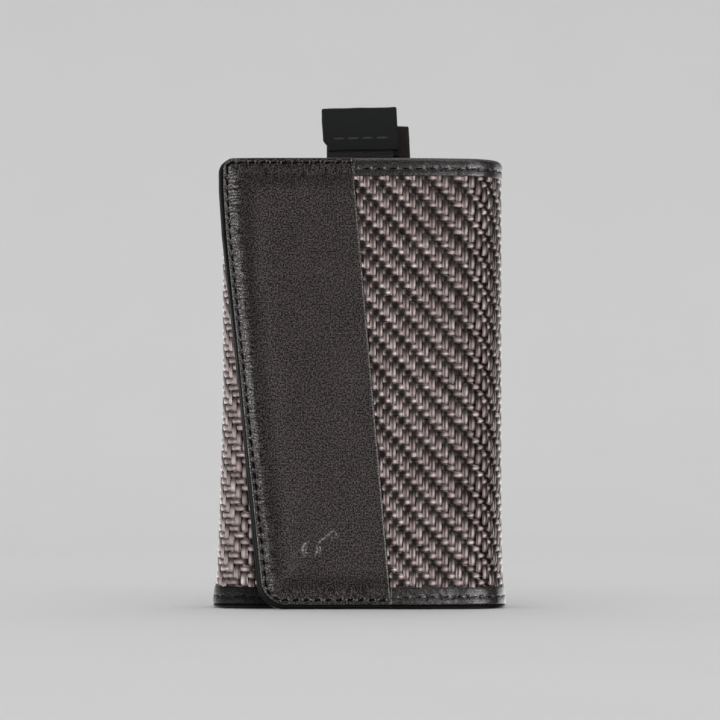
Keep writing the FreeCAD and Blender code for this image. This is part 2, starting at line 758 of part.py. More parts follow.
def pull_ribbon(name, wall, x, tab_low):
    """A pull ribbon: a leg sewn to the wall in front of it, a fold at the bottom, a leg up to the tab."""
    left = f"({x} - dims.ribbon_width / 2)"
    right = f"({x} + dims.ribbon_width / 2)"
    fixed_front = f"({wall} + dims.ribbon_play)"
    fixed_back = f"({fixed_front} + dims.ribbon_thick)"
    pull_front = f"({fixed_back} + dims.ribbon_space)"
    pull_back = f"({pull_front} + dims.ribbon_thick)"
    middle = f"({fixed_back} + dims.ribbon_space / 2)"
    leg_low = "(dims.ribbon_low + dims.ribbon_leg)"
    tab_top = f"({tab_low} + dims.tab_height)"

    slab(f"{name}_ribbon_fixed_leg", left, right, fixed_front, fixed_back, leg_low, "dims.ribbon_sewn")
    slab(
        f"{name}_ribbon_pull_leg", left, right, pull_front, pull_back, leg_low, f"{tab_top} - dims.tab_sheet"
    )

    fold = new_body(f"{name}_ribbon_fold")
    section = new_sketch(fold, "YZ", x)
    inner = "(dims.ribbon_space / 2)"
    outer = f"({inner} + dims.ribbon_thick)"
    low = "dims.ribbon_low"
    outline(
        section,
        [
            (fixed_front, leg_low),
            (fixed_front, low, outer, 1),
            (middle, f"{low} - {outer}", outer, 1),
            (pull_back, low),
            (pull_back, leg_low),
            (pull_front, leg_low),
            (pull_front, low, inner, -1),
            (middle, f"{low} - {inner}", inner, -1),
            (fixed_back, low),
            (fixed_back, leg_low),
        ],
    )
    pad(fold, section, "dims.ribbon_width", symmetric=True)

    tab = new_body(f"{name}_pull_tab")
    section = new_sketch(tab, "YZ", x)
    centre = f"({pull_front} + dims.ribbon_thick / 2)"
    half = "(dims.tab_thick / 2)"
    outline(
        section,
        [
            (f"{centre} - {half}", tab_low),
            (pull_front, tab_low),
            (pull_front, f"{tab_top} - dims.tab_sheet"),
            (pull_back, f"{tab_top} - dims.tab_sheet"),
            (pull_back, tab_low),
            (f"{centre} + {half}", tab_low),
            (f"{centre} + {half}", f"{tab_top} - {half}", half, 1),
            (centre, tab_top, half, 1),
            (f"{centre} - {half}", f"{tab_top} - {half}"),
        ],
    )
    pad(tab, section, "dims.tab_width", symmetric=True)


def check_model():
    """Stops if any object failed, or if a sub-part has no valid solid."""
    doc.recompute()
    for item in doc.Objects:
        if "Invalid" in item.State or "Error" in item.State:
            raise RuntimeError(f"{item.Label} failed: {item.State}")
        if item.TypeId == "Sketcher::SketchObject" and not item.FullyConstrained:
            raise RuntimeError(f"{item.Label} isn't fully constrained")
    for item in subparts:
        if item.Shape.isNull() or not item.Shape.isValid() or not item.Shape.Solids:
            raise RuntimeError(f"{item.Label} isn't a valid solid")


def export():
    os.makedirs("parts", exist_ok=True)
    for item in subparts:
        item.Shape.exportStep(f"parts/{item.Label}.step")
        print(f"{item.Label}: {len(item.Shape.Solids)} solid(s), {item.Shape.Volume:.2f} mm3")


fill_sheet()
back_panel()
side_panel()
flap_panel()
wing_panel()
pockets()
key_bar()
key_bar_rivets()
for number in range(1, HOOK_COUNT + 1):
    key_hook(number)
    hook_gate(number)
pull_ribbon("front", PANEL_BACK, "0", "dims.front_tab_low")
pull_ribbon("rear", DIVIDER_BACK, "dims.rear_tab_shift", "dims.rear_tab_low")
check_model()
export()
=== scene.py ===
"""Looks of a folding key organiser, built round its CAD frame.

Lengths are in millimetres until a mesh is made, which turns them into metres. A place on the cover is
given as (s, depth, z): s runs along the cover's outline, 0 at the middle of the front, negative towards
the flap's free edge and positive round the right side, the back and the left side to the wing's end.
depth is measured inwards from the outline, and z upwards from the surface that the case stands on.
"""

import math

import bpy
import numpy as np
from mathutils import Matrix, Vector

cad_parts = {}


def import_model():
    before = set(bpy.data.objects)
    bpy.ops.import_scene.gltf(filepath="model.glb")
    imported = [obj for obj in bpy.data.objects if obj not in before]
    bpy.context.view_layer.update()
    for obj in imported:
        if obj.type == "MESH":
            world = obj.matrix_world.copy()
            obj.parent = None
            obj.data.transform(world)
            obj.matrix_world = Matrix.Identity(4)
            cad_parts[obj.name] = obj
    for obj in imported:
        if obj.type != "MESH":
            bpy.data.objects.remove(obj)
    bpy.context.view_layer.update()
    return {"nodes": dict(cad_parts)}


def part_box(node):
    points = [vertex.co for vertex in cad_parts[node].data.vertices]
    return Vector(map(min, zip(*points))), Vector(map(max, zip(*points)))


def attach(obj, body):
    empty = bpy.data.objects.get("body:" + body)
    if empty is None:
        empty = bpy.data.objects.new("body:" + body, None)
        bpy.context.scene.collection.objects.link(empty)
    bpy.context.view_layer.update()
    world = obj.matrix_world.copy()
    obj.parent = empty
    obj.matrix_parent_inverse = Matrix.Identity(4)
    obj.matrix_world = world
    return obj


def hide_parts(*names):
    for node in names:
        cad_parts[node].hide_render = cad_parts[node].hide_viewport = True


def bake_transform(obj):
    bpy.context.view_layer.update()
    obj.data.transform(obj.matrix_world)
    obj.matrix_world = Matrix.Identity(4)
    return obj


MM = 0.001

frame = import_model()


# ---------------------------------------------------------------------------------------------
# Sizes, read from the frame or shared with the CAD model
# ---------------------------------------------------------------------------------------------

def box_mm(node):
    """The lowest and highest corner of a CAD piece, in millimetres."""
    low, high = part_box(node)
    return np.array(low) / MM, np.array(high) / MM


low, high = box_mm("back_top_binding")
HALF_WIDTH = -low[0]
HALF_DEPTH = high[1]
HEIGHT = high[2]
BAND = high[2] - low[2]
WALL = 2.2
BACK_ROUND = 4.5
FRONT_ROUND = 10.0
LEFT_ROUND = 8.75
FLAP_ROUND = LEFT_ROUND + WALL + 0.3
LEFT_CENTRE = np.array([LEFT_ROUND - HALF_WIDTH, FLAP_ROUND - HALF_DEPTH])
FRONT_CENTRE = np.array([HALF_WIDTH - FRONT_ROUND, FRONT_ROUND - HALF_DEPTH])
BACK_X = HALF_WIDTH - BACK_ROUND
BACK_Y = HALF_DEPTH - BACK_ROUND
WING_END = box_mm("wing_edge_binding")[1][0]
WING_BINDING = 3.0

EDGE_LOW = -23.7
EDGE_TOP = -34.6
EDGE_TURN = 1.7
LOW_CORNER = 6.5
TOP_CORNER = 3.4
FLAP_SPRING = 11.0
SPRING_FROM = 35.0
SPRING_RISE = 60.0
TURN_FROM = 88.0
TURN_RISE = 18.0
EDGE_INSET = 1.1
SEAM_LOW = 7.3
SEAM_TOP = -1.9


# ---------------------------------------------------------------------------------------------
# The cover's outline
# ---------------------------------------------------------------------------------------------

def outline():
    """The outline's arcs and straights, in order: (kind, start s, length, data)."""
    quarter = math.pi / 2
    left, front = LEFT_CENTRE, FRONT_CENTRE
    bend = math.radians(75)
    parts = [
        ("arc", FLAP_ROUND * bend, (left, FLAP_ROUND, -quarter - bend)),
        ("line", front[0] - left[0], (np.array([left[0], -HALF_DEPTH]), np.array([1.0, 0.0]))),
        ("arc", FRONT_ROUND * quarter, (front, FRONT_ROUND, -quarter)),
        ("line", BACK_Y - front[1], (np.array([HALF_WIDTH, front[1]]), np.array([0.0, 1.0]))),
        ("arc", BACK_ROUND * quarter, (np.array([BACK_X, BACK_Y]), BACK_ROUND, 0.0)),
        ("line", 2 * BACK_X, (np.array([BACK_X, HALF_DEPTH]), np.array([-1.0, 0.0]))),
        ("arc", BACK_ROUND * quarter, (np.array([-BACK_X, BACK_Y]), BACK_ROUND, quarter)),
        ("line", BACK_Y - left[1], (np.array([-HALF_WIDTH, BACK_Y]), np.array([0.0, -1.0]))),
        ("arc", LEFT_ROUND * quarter, (left, LEFT_ROUND, 2 * quarter)),
        ("line", WING_END - left[0], (np.array([left[0], left[1] - LEFT_ROUND]), np.array([1.0, 0.0]))),
    ]
    start = left[0] - parts[0][1]
    placed = []
    for kind, length, data in parts:
        placed.append((kind, start, length, data))
        start += length
    return placed


OUTLINE = outline()
SIDE_MIDDLE = OUTLINE[3][1] + OUTLINE[3][2] / 2
LEFT_MIDDLE = OUTLINE[7][1] + OUTLINE[7][2] / 2
WING_S = OUTLINE[9][1] + OUTLINE[9][2]


def at(s, depth, z):
    """Points at places on the cover, as an array of any shape by three."""
    s, depth, z = np.broadcast_arrays(*(np.asarray(v, float) for v in (s, depth, z)))
    points = np.zeros(s.shape + (3,))
    for index, (kind, start, length, data) in enumerate(OUTLINE):
        here = s >= start if index else np.ones(s.shape, bool)
        if kind == "arc":
            centre, radius, angle = data
            if index == 0:
                spring = FLAP_SPRING * smooth((z - SPRING_FROM) / SPRING_RISE)
                turn = -math.pi / 2 + (s - start - length) / (radius + spring)
                centre, radius = (centre[0], centre[1] + spring), radius + spring
            else:
                turn = angle + (s - start) / radius
            reach = radius - depth
            x, y = centre[0] + reach * np.cos(turn), centre[1] + reach * np.sin(turn)
        else:
            origin, along = data
            x = origin[0] + (s - start) * along[0] - depth * along[1]
            y = origin[1] + (s - start) * along[1] + depth * along[0]
        points[..., 0] = np.where(here, x, points[..., 0])
        points[..., 1] = np.where(here, y, points[..., 1])
    points[..., 2] = z
    return flare(points)


def smooth(t):
    t = np.clip(t, 0, 1)
    return t * t * (3 - 2 * t)


LEFT_FLARE = 1.7
RIGHT_FLARE = 1.1
FRONT_EASE = 0.9


def flare(points):
    """The case is a little fuller than its frame, and wider near its foot, most of all on the left."""
    x, z = points[..., 0], points[..., 2]
    foot = 0.7 * np.clip(1 - z / 9, 0, 1)
    left = LEFT_FLARE * np.clip(1 - z / 55, 0, 1) ** 1.3 + 0.5 * smooth((z - 88) / 14) + 0.15 + foot
    right = RIGHT_FLARE + 0.3 * np.clip(1 - z / 25, 0, 1) + foot
    front = points[..., 1] < 0
    points[..., 1] += FRONT_EASE * front * np.clip((x - 9) / 14, 0, 1) ** 2 * (1 - smooth((x - 23) / 9))
    points[..., 0] += right * smooth((x - 23) / 9) - left * smooth((-24.5 - x) / 7)
    return points


def free_edge(z):
    """s of the flap's free edge, before its corners are rounded."""
    straight = EDGE_LOW + (EDGE_TOP - EDGE_LOW) * np.asarray(z) / HEIGHT
    return straight + EDGE_TURN * np.clip((np.asarray(z) - TURN_FROM) / TURN_RISE, 0, 1) ** 1.3


def seam(z):
    """s of the slanting seam between leather and weave."""
    return SEAM_LOW + (SEAM_TOP - SEAM_LOW) * np.asarray(z) / HEIGHT


def noise(x, y, seed=0):
    """Smooth value noise in two dimensions, from -1 to 1, the same on each run."""
    x, y = np.broadcast_arrays(np.asarray(x, float), np.asarray(y, float))
    column, row = np.floor(x), np.floor(y)
    across, up = smooth(x - column), smooth(y - row)

    def corner(i, j):
        v = np.sin((column + i) * 127.1 + (row + j) * 311.7 + seed * 74.7) * 43758.5453
        return 2 * (v - np.floor(v)) - 1

    lower = corner(0, 0) * (1 - across) + corner(1, 0) * across
    upper = corner(0, 1) * (1 - across) + corner(1, 1) * across
    return lower * (1 - up) + upper * up


# ---------------------------------------------------------------------------------------------
# Meshes
# ---------------------------------------------------------------------------------------------

def object_from(name, points, quads, uvs, material, caps=()):
    """A smooth-shaded mesh object from points in millimetres, quads, extra polygons and a UV per point."""
    points = np.asarray(points, float).reshape(-1, 3)
    quads = np.asarray(quads, np.int64).reshape(-1, 4)
    corners = np.concatenate([quads.ravel()] + [np.asarray(c, np.int64) for c in caps])
    sizes = np.concatenate([np.full(len(quads), 4), [len(c) for c in caps]]).astype(np.int64)
    starts = np.concatenate([[0], np.cumsum(sizes)[:-1]])
    mesh = bpy.data.meshes.new(name)
    mesh.vertices.add(len(points))
    mesh.vertices.foreach_set("co", (points * MM).astype(np.float32).ravel())
    mesh.loops.add(len(corners))
    mesh.loops.foreach_set("vertex_index", corners.astype(np.int32))
    mesh.polygons.add(len(sizes))
    mesh.polygons.foreach_set("loop_start", starts.astype(np.int32))
    mesh.polygons.foreach_set("use_smooth", np.ones(len(sizes), bool))
    layer = mesh.uv_layers.new(name="Surface")
    uvs = np.asarray(uvs, np.float32).reshape(-1, 2)
    layer.data.foreach_set("uv", uvs[corners].ravel())
    mesh.update(calc_edges=True)
    mesh.validate()
    obj = bpy.data.objects.new(name, mesh)
    bpy.context.scene.collection.objects.link(obj)
    mesh.materials.append(material)
    return obj


def tube_faces(count, size, outward=True):
    """Quads and two caps of a closed tube of count rings of size points."""
    ring = np.arange(count - 1)[:, None] * size
    step = np.arange(size)[None, :]
    following = (step + 1) % size
    quads = np.stack([ring + step, ring + following, ring + size + following, ring + size + step], -1)
    quads = quads.reshape(-1, 4)
    caps = [np.arange(size)[::-1], np.arange(size) + (count - 1) * size]
    if not outward:
        quads, caps = quads[:, ::-1], [cap[::-1] for cap in caps]
    return quads, caps


def signed_volume(points, quads):
    a, b, c, d = (points[quads[:, k]] for k in range(4))
    return (np.einsum("ij,ij->i", a, np.cross(b, c)) + np.einsum("ij,ij->i", a, np.cross(c, d))).sum()


class Batch:
    """Closed tubes and patches gathered into one mesh."""

    def __init__(self):
        self.points, self.quads, self.caps, self.uvs, self.total = [], [], [], [], 0

    def tube(self, rings, uvs):
        """Adds a closed tube through rings (count by size by 3)."""
        count, size = rings.shape[:2]
        flat = rings.reshape(-1, 3)
        quads, caps = tube_faces(count, size)
        if signed_volume(flat - flat.mean(0), quads) < 0:
            quads, caps = tube_faces(count, size, outward=False)
        self.points.append(flat)
        self.uvs.append(uvs.reshape(-1, 2))
        self.quads.append(quads + self.total)
        self.caps += [cap + self.total for cap in caps]
        self.total += len(flat)

    def make(self, name, material):
        return object_from(
            name,
            np.concatenate(self.points),
            np.concatenate(self.quads),
            np.concatenate(self.uvs),
            material,
            self.caps,
        )


def sweep(name, s, profile, material):
    """A closed piece along the cover. profile(s) gives (depth, z) arrays of one point per profile corner."""
    s = np.asarray(s, float)
    depth, z = profile(s[:, None])
    depth, z = np.broadcast_arrays(depth, z)
    rings = at(np.broadcast_to(s[:, None], depth.shape), depth, z)
    girth = np.linalg.norm(np.diff(rings, axis=1, append=rings[:, :1]), axis=2).mean(0)
    across = np.concatenate([[0], np.cumsum(girth)[:-1]])
    uvs = np.stack(np.broadcast_arrays(s[:, None], across[None, :]), -1)
    batch = Batch()
    batch.tube(rings, uvs)
    return batch.make(name, material)


def grid_faces(index):
    return np.stack([index[:-1, :-1], index[:-1, 1:], index[1:, 1:], index[1:, :-1]], -1).reshape(-1, 4)


def shell(name, s, z, front, back, material, stride=1):
    """A closed sheet: s, z, and the front and back depths are grids of rows by columns.

    The back keeps only every stride-th column, and the last one.
    """
    rows, columns = s.shape
    kept = np.unique(np.append(np.arange(0, columns, stride), columns - 1))
    top, bottom = at(s, front, z), at(s, back, z)[:, kept]
    index = np.arange(rows * columns).reshape(rows, columns)
    under = rows * columns + np.arange(rows * len(kept)).reshape(rows, len(kept))
    sides = []
    for column, behind, step in ((0, 0, -1), (columns - 1, len(kept) - 1, 1)):
        first, second = index[:, column][::step], under[:, behind][::step]
        sides.append(np.stack([first[1:], first[:-1], second[:-1], second[1:]], -1))
    quads = np.concatenate([grid_faces(index), grid_faces(under)[:, ::-1], *sides])
    ends = []
    for row, turned in ((0, False), (rows - 1, True)):
        for k in range(len(kept) - 1):
            strip = index[row, kept[k]:kept[k + 1] + 1][::-1]
            corner = np.concatenate([strip, under[row, [k, k + 1]]])
            ends.append(corner[::-1] if turned else corner)
    points = np.concatenate([top.reshape(-1, 3), bottom.reshape(-1, 3)])
    if signed_volume(points - points.mean(0), quads) < 0:
        quads = quads[:, ::-1]
        ends = [end[::-1] for end in ends]
    uvs = np.stack([s, z], -1)
    uvs = np.concatenate([uvs.reshape(-1, 2), uvs[:, kept].reshape(-1, 2)])
    return object_from(name, points, quads, uvs, material, ends)


# ---------------------------------------------------------------------------------------------
# Materials
# ---------------------------------------------------------------------------------------------

class Nodes:
    """Short calls that make and join shader nodes."""

    def __init__(self, name):
        self.material = bpy.data.materials.new(name)
        self.material.use_nodes = True
        self.tree = self.material.node_tree
        self.shader = self.tree.nodes["Principled BSDF"]

    def add(self, kind, inputs=None, **settings):
        node = self.tree.nodes.new(kind)
        for key, setting in settings.items():
            setattr(node, key, setting)
        for key, value in (inputs or {}).items():
            if isinstance(value, bpy.types.NodeSocket):
                self.tree.links.new(value, node.inputs[key])
            else:
                node.inputs[key].default_value = value
        return node

    def surface_uv(self, layer="Surface"):
        """The piece's own surface coordinates, in millimetres."""
        return self.add("ShaderNodeUVMap", uv_map=layer).outputs["UV"]

    def place(self):
        """The point in the frame, in millimetres."""
        place = self.add("ShaderNodeTexCoord").outputs["Object"]
        return self.scaled(place, (1 / MM,) * 3)

    def scaled(self, vector, scale):
        return self.add("ShaderNodeMapping", {"Vector": vector, "Scale": scale}).outputs["Vector"]

    def noise(self, vector, scale, detail=3.0, roughness=0.5, distortion=0.0):
        inputs = {
            "Vector": vector, "Scale": scale, "Detail": detail,
            "Roughness": roughness, "Distortion": distortion,
        }
        return self.add("ShaderNodeTexNoise", inputs).outputs["Fac"]

    def math(self, operation, a, b=0.0, c=0.0):
        return self.add("ShaderNodeMath", {0: a, 1: b, 2: c}, operation=operation).outputs[0]

    def ramp(self, value, stops):
        node = self.add("ShaderNodeValToRGB", {"Fac": value})
        elements = node.color_ramp.elements
        while len(elements) < len(stops):
            elements.new(0.5)
        for element, (position, colour) in zip(elements, stops):
            element.position = position
            element.color = (*colour, 1) if isinstance(colour, tuple) else (colour,) * 3 + (1,)
        return node.outputs["Color"]

    def between(self, value, low, high):
        """A value from 0 to 1 spread from low to high."""
        return self.add("ShaderNodeMapRange", {"Value": value, "To Min": low, "To Max": high}).outputs[0]

    def bump(self, height, distance, strength=1.0):
        """distance is the height of the relief, in millimetres."""
        inputs = {"Height": height, "Distance": distance * MM, "Strength": strength}
        return self.add("ShaderNodeBump", inputs).outputs["Normal"]

    def set(self, **sockets):
        names = {
            "colour": "Base Color", "roughness": "Roughness", "metallic": "Metallic", "normal": "Normal",
            "specular": "Specular IOR Level", "anisotropy": "Anisotropic", "turn": "Anisotropic Rotation",
            "tangent": "Tangent", "sheen": "Sheen Weight",
        }
        for key, value in sockets.items():
            socket = self.shader.inputs[names[key]]
            if isinstance(value, bpy.types.NodeSocket):
                self.tree.links.new(value, socket)
            elif key == "colour":
                socket.default_value = (*value, 1)
            else:
                socket.default_value = value
        return self.material


def fibre(name):
    """Flat bundles of glossy fibres: u runs along the bundle, v across it, with the bundle's number added."""
    n = Nodes(name)
    uv = n.surface_uv()
    streaks = n.noise(n.scaled(uv, (0.25, 9.0, 1.0)), 1.0, detail=2.0, roughness=0.6)
    bundle = n.noise(n.scaled(uv, (0.05, 0.31, 1.0)), 1.0, detail=0.0)
    mixed = n.math("ADD", n.math("MULTIPLY", streaks, 0.65), n.math("MULTIPLY", bundle, 0.35))
    shades = [(0.30, (0.056, 0.042, 0.041)), (0.5, (0.100, 0.080, 0.078)), (0.72, (0.20, 0.170, 0.166))]
    colour = n.ramp(mixed, shades)
    tangent = n.add("ShaderNodeTangent", direction_type="UV_MAP", uv_map="Surface").outputs["Tangent"]
    return n.set(
        colour=colour,
        metallic=1.0,
        roughness=n.between(streaks, 0.25, 0.36),
        anisotropy=0.75,
        turn=0.25,
        tangent=tangent,
        normal=n.bump(streaks, 0.05, 0.8),
    )


# Shares by distance in from the leather's edge, in millimetres: of tone, which paints shade into the valley
# behind the ridge and a little outside the stitches, and of the painted shade of creases.
VALLEY_SHADE_REACH = 12.0
VALLEY_SHADE = ((0.0, 0.9), (1.4, 0.9), (2.0, 1.0), (3.4, 1.0), (4.4, 0.72), (5.8, 0.7), (8.0, 1.0))
CREASE_SHADE = ((0.0, 0.0), (1.3, 0.2), (1.9, 1.0), (3.8, 0.9), (5.6, 0.0), (9.0, 0.0))


def leather(name, dark, light, grain=0.55, relief=0.035, rough=(0.24, 0.36), specular=0.7, surface=True,
            valley_shaded=False):
    """Fine-grained leather: small pebbles with slow changes of tone; on request, painted shade darkens its
    colour in the valley behind the ridge and along creases drawn only in colour.
    """
    n = Nodes(name)
    where = n.surface_uv() if surface else n.place()
    pebbles = n.noise(where, 1.55 / grain, detail=1.0, roughness=0.6, distortion=0.3)
    fine = n.noise(where, 3.6 / grain, detail=1.0, roughness=0.6)
    height = n.math("ADD", n.math("MULTIPLY", fine, 0.25), n.math("MULTIPLY", pebbles, 0.75))
    slow = n.noise(where, 0.12, detail=3.0, roughness=0.6)
    crests = n.add("ShaderNodeMapRange", {"Value": height, "From Min": 0.46, "From Max": 0.58}).outputs[0]
    tone = n.math("ADD", n.math("MULTIPLY", slow, 0.25), n.math("MULTIPLY", crests, 0.75))
    shine = n.between(crests, 0.35 * specular, 1.3 * specular)
    # Painted shade: the tone darkens by distance in from the edge, most in the valley behind the ridge and a
    # little outside the stitches, and the shine drops with it.
    if valley_shaded:
        edge = n.surface_uv("Edge")
        distance = n.add("ShaderNodeSeparateXYZ", {0: edge}).outputs["Y"]
        reach = n.math("DIVIDE", distance, VALLEY_SHADE_REACH)
        kept, crease_shade_share = (
            n.ramp(reach, [(inward / VALLEY_SHADE_REACH, share) for inward, share in curve])
            for curve in (VALLEY_SHADE, CREASE_SHADE)
        )
        bent = n.math("MULTIPLY", n.noise(n.scaled(edge, (0.5, 0.5, 1.0)), 1.0, detail=1.0), 1.6)
        sideways = n.add("ShaderNodeCombineXYZ", {"X": bent}).outputs[0]
        stretched = n.scaled(edge, (2.1, 0.42, 1.0))
        wandering = n.add("ShaderNodeVectorMath", {0: stretched, 1: sideways}, operation="ADD").outputs[0]
        folds = n.noise(wandering, 1.0, detail=2.0, roughness=0.55)
        valleys = n.add("ShaderNodeMapRange", {"Value": folds, "From Min": 0.36, "From Max": 0.52}).outputs[0]
        # Painted shade: the tone darkens in the crease valleys, which are drawn only in colour, and the shine
        # drops there too.
        crease_lit_share = n.math("SUBTRACT", 1.0, n.math("MULTIPLY", crease_shade_share, n.math("SUBTRACT", 1.0, valleys)))
        tone = n.math("MULTIPLY", n.math("MULTIPLY", tone, kept), n.between(crease_lit_share, 0.35, 1.0))
        shine = n.math("MULTIPLY", n.math("MULTIPLY", shine, kept), n.between(crease_lit_share, 0.15, 1.15))
    return n.set(
        colour=n.ramp(tone, [(0.12, dark), (0.9, light)]),
        roughness=n.between(fine, *rough),
        specular=shine,
        normal=n.bump(height, relief),
    )


def painted_edge(name):
    """Black edge paint: smooth, with faint runs along the edge."""
    n = Nodes(name)
    uv = n.surface_uv()
    runs = n.noise(n.scaled(uv, (0.35, 3.0, 1.0)), 1.0, detail=3.0)
    return n.set(
        colour=n.ramp(runs, [(0.3, (0.0035, 0.0045, 0.004)), (0.75, (0.009, 0.0105, 0.0095))]),
        roughness=n.between(runs, 0.30, 0.44),
        specular=0.05,
        normal=n.bump(runs, 0.03, 0.7),
    )


def thread(name, dark, light, specular=0.5):
    """Twisted sewing thread: u runs along it."""
    n = Nodes(name)
    uv = n.surface_uv()
    twist = n.add(
        "ShaderNodeTexWave", {"Vector": n.scaled(uv, (1.0, 1.6, 1.0)), "Scale": 1.1, "Distortion": 0.6},
        wave_type="BANDS", bands_direction="DIAGONAL",
    ).outputs["Fac"]
    return n.set(
        colour=n.ramp(twist, [(0.2, dark), (0.9, light)]),
        roughness=0.55,
        specular=specular,
        normal=n.bump(twist, 0.06),
    )


def ribbon_weave(name, dark, light):
    """Ribbed ribbon: u runs along it, so the ribs cross it."""
    n = Nodes(name)
    uv = n.surface_uv()
    ribs = n.add(
        "ShaderNodeTexWave",
        {"Vector": uv, "Scale": 0.72, "Distortion": 0.25, "Detail": 2.0, "Detail Scale": 4.0},
        wave_type="BANDS", bands_direction="X",
    ).outputs["Fac"]
    fuzz = n.noise(uv, 6.0, detail=2.0)
    tone = n.math("ADD", n.math("MULTIPLY", ribs, 0.6), n.math("MULTIPLY", fuzz, 0.4))
    return n.set(
        colour=n.ramp(tone, [(0.25, dark), (0.8, light)]),
        roughness=0.75,
        sheen=0.15,
        normal=n.bump(tone, 0.12),
    )


def brushed_metal(name, dark, light, roughness, stretch):
    """Satin metal with scratches along the longest side."""
    n = Nodes(name)
    place = n.place()
    scratches = n.noise(n.scaled(place, stretch), 1.0, detail=4.0, roughness=0.6)
    smudges = n.noise(place, 0.35, detail=3.0)
    return n.set(
        colour=n.ramp(scratches, [(0.3, dark), (0.7, light)]),
        metallic=1.0,
        roughness=n.between(smudges, roughness - 0.07, roughness + 0.09),
        normal=n.bump(scratches, 0.01, 0.5),
    )


def plain_sheet(name, dark, light):
    """Stiffener and foam, seen only at their edges: a fine speckle."""
    n = Nodes(name)
    speckle = n.noise(n.place(), 1.8, detail=4.0, roughness=0.7)
    return n.set(
        colour=n.ramp(speckle, [(0.3, dark), (0.7, light)]),
        roughness=0.8,
        normal=n.bump(speckle, 0.05),
    )


FIBRE = fibre("fibre_weave")
# The flap's leather has painted shade in its colour: the valley behind its ridge and its creases are darker.
COVER_LEATHER = leather(
    "black_cover_leather", (0.008, 0.0066, 0.0064), (0.105, 0.086, 0.083), specular=0.5, valley_shaded=True
)
BAND_LEATHER = leather("black_band_leather", (0.008, 0.0064, 0.0064), (0.050, 0.040, 0.040), grain=0.45)
# Painted shade: a darker, less glossy copy of the band leather, for the wing's bindings, so that the left
# side's bands look shaded.
SHADED_BAND_LEATHER = leather(
    "shaded_band_leather", (0.004, 0.0036, 0.0036), (0.014, 0.012, 0.012),
    grain=0.45, rough=(0.3, 0.42), specular=0.09,
)
INNER_LEATHER = leather(
    "black_inner_leather", (0.018, 0.017, 0.018), (0.034, 0.032, 0.033), grain=0.3, relief=0.03
)
POCKET_LEATHER = leather(
    "black_pocket_leather", (0.020, 0.018, 0.018), (0.036, 0.033, 0.033), grain=0.34, surface=False
)
FRONT_TAB_LEATHER = leather(
    "matte_tab_leather", (0.0075, 0.0085, 0.008), (0.0125, 0.0135, 0.0128), grain=0.25, relief=0.02,
    rough=(0.6, 0.75), specular=0.2,
)
REAR_TAB_LEATHER = leather(
    "brown_tab_leather", (0.012, 0.0075, 0.007), (0.022, 0.014, 0.0135), grain=0.3, relief=0.03,
    rough=(0.55, 0.7), specular=0.25,
)
EDGE_PAINT = painted_edge("black_edge_paint")
DARK_THREAD = thread("black_thread", (0.0015, 0.0012, 0.0012), (0.008, 0.0065, 0.0065), specular=0.03)
GREY_THREAD = thread("grey_thread", (0.018, 0.019, 0.019), (0.06, 0.062, 0.062))
RIBBON = ribbon_weave("black_ribbon", (0.004, 0.0028, 0.0028), (0.012, 0.0085, 0.0085))
BACKING = plain_sheet("dark_backing", (0.012, 0.010, 0.010), (0.03, 0.025, 0.025))
STIFFENER = plain_sheet("grey_board", (0.05, 0.05, 0.05), (0.11, 0.11, 0.11))
FOAM = plain_sheet("black_foam", (0.02, 0.02, 0.02), (0.05, 0.05, 0.05))
BAR_STEEL = brushed_metal("gunmetal_bar", (0.20, 0.20, 0.21), (0.36, 0.36, 0.37), 0.34, (0.4, 9.0, 9.0))
HOOK_STEEL = brushed_metal(
    "polished_hook_steel", (0.55, 0.55, 0.54), (0.72, 0.71, 0.70), 0.2, (9.0, 9.0, 0.8)
)
NICKEL = brushed_metal("nickel_plate", (0.55, 0.54, 0.52), (0.7, 0.69, 0.67), 0.25, (5.0, 5.0, 5.0))


# ---------------------------------------------------------------------------------------------
# Regions of the cover, and baking a piece's placement into its mesh
# ---------------------------------------------------------------------------------------------


def follow(piece):
    """Bakes the piece's placement into its mesh; nothing here bends it across a fold."""
    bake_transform(piece)


# Each region of the cover holds one fold: its name, its fold and where it starts and ends along the cover.
REGIONS = (("front", "flap", None, SIDE_MIDDLE), ("back", "side", SIDE_MIDDLE, LEFT_MIDDLE),
           ("wing", "wing", LEFT_MIDDLE, WING_S))


# ---------------------------------------------------------------------------------------------
# The weave: a two-over-two twill of flat bundles
# ---------------------------------------------------------------------------------------------

PITCH_S = 1.545
PITCH_Z = 1.585
WEAVE_DEPTH = 0.52
WEAVE_SWING = 0.24
YARN_HALF = 0.46
YARN_CROWN = 0.24
LOW_BAND = BAND + 0.9
WEAVE_LOW = LOW_BAND - 0.6
WEAVE_HIGH = HEIGHT - BAND + 0.6
YARN_ACROSS = np.array([-1.0, -0.82, -0.35, 0.35, 0.82, 1.0])
YARN_UNDER = np.array([0.7, -0.7])
STEPS_PER_CROSSING = 4


def interlace(phase):
    """1 where a bundle lies on top and -1 where it lies beneath, for a phase in crossings of four."""
    wave = np.sin(2 * math.pi * (phase + 0.5) / 4)
    return wave / np.sqrt(wave**2 + 0.7) * math.sqrt(1.7)


def yarn_section(width):
    """Across positions and heights of a flat bundle's section: its crowned top, then its underside."""
    across = np.concatenate([YARN_ACROSS, YARN_UNDER]) * width
    crown = YARN_CROWN * (1 - np.abs(YARN_ACROSS) ** 2.2)
    height = np.concatenate([crown - 0.09, [-0.13, -0.13]])
    return across, height


def along_steps(start, end, pitch):
    count = max(2, int(round((end - start) / pitch * STEPS_PER_CROSSING)))
    return np.linspace(start, end, count + 1)


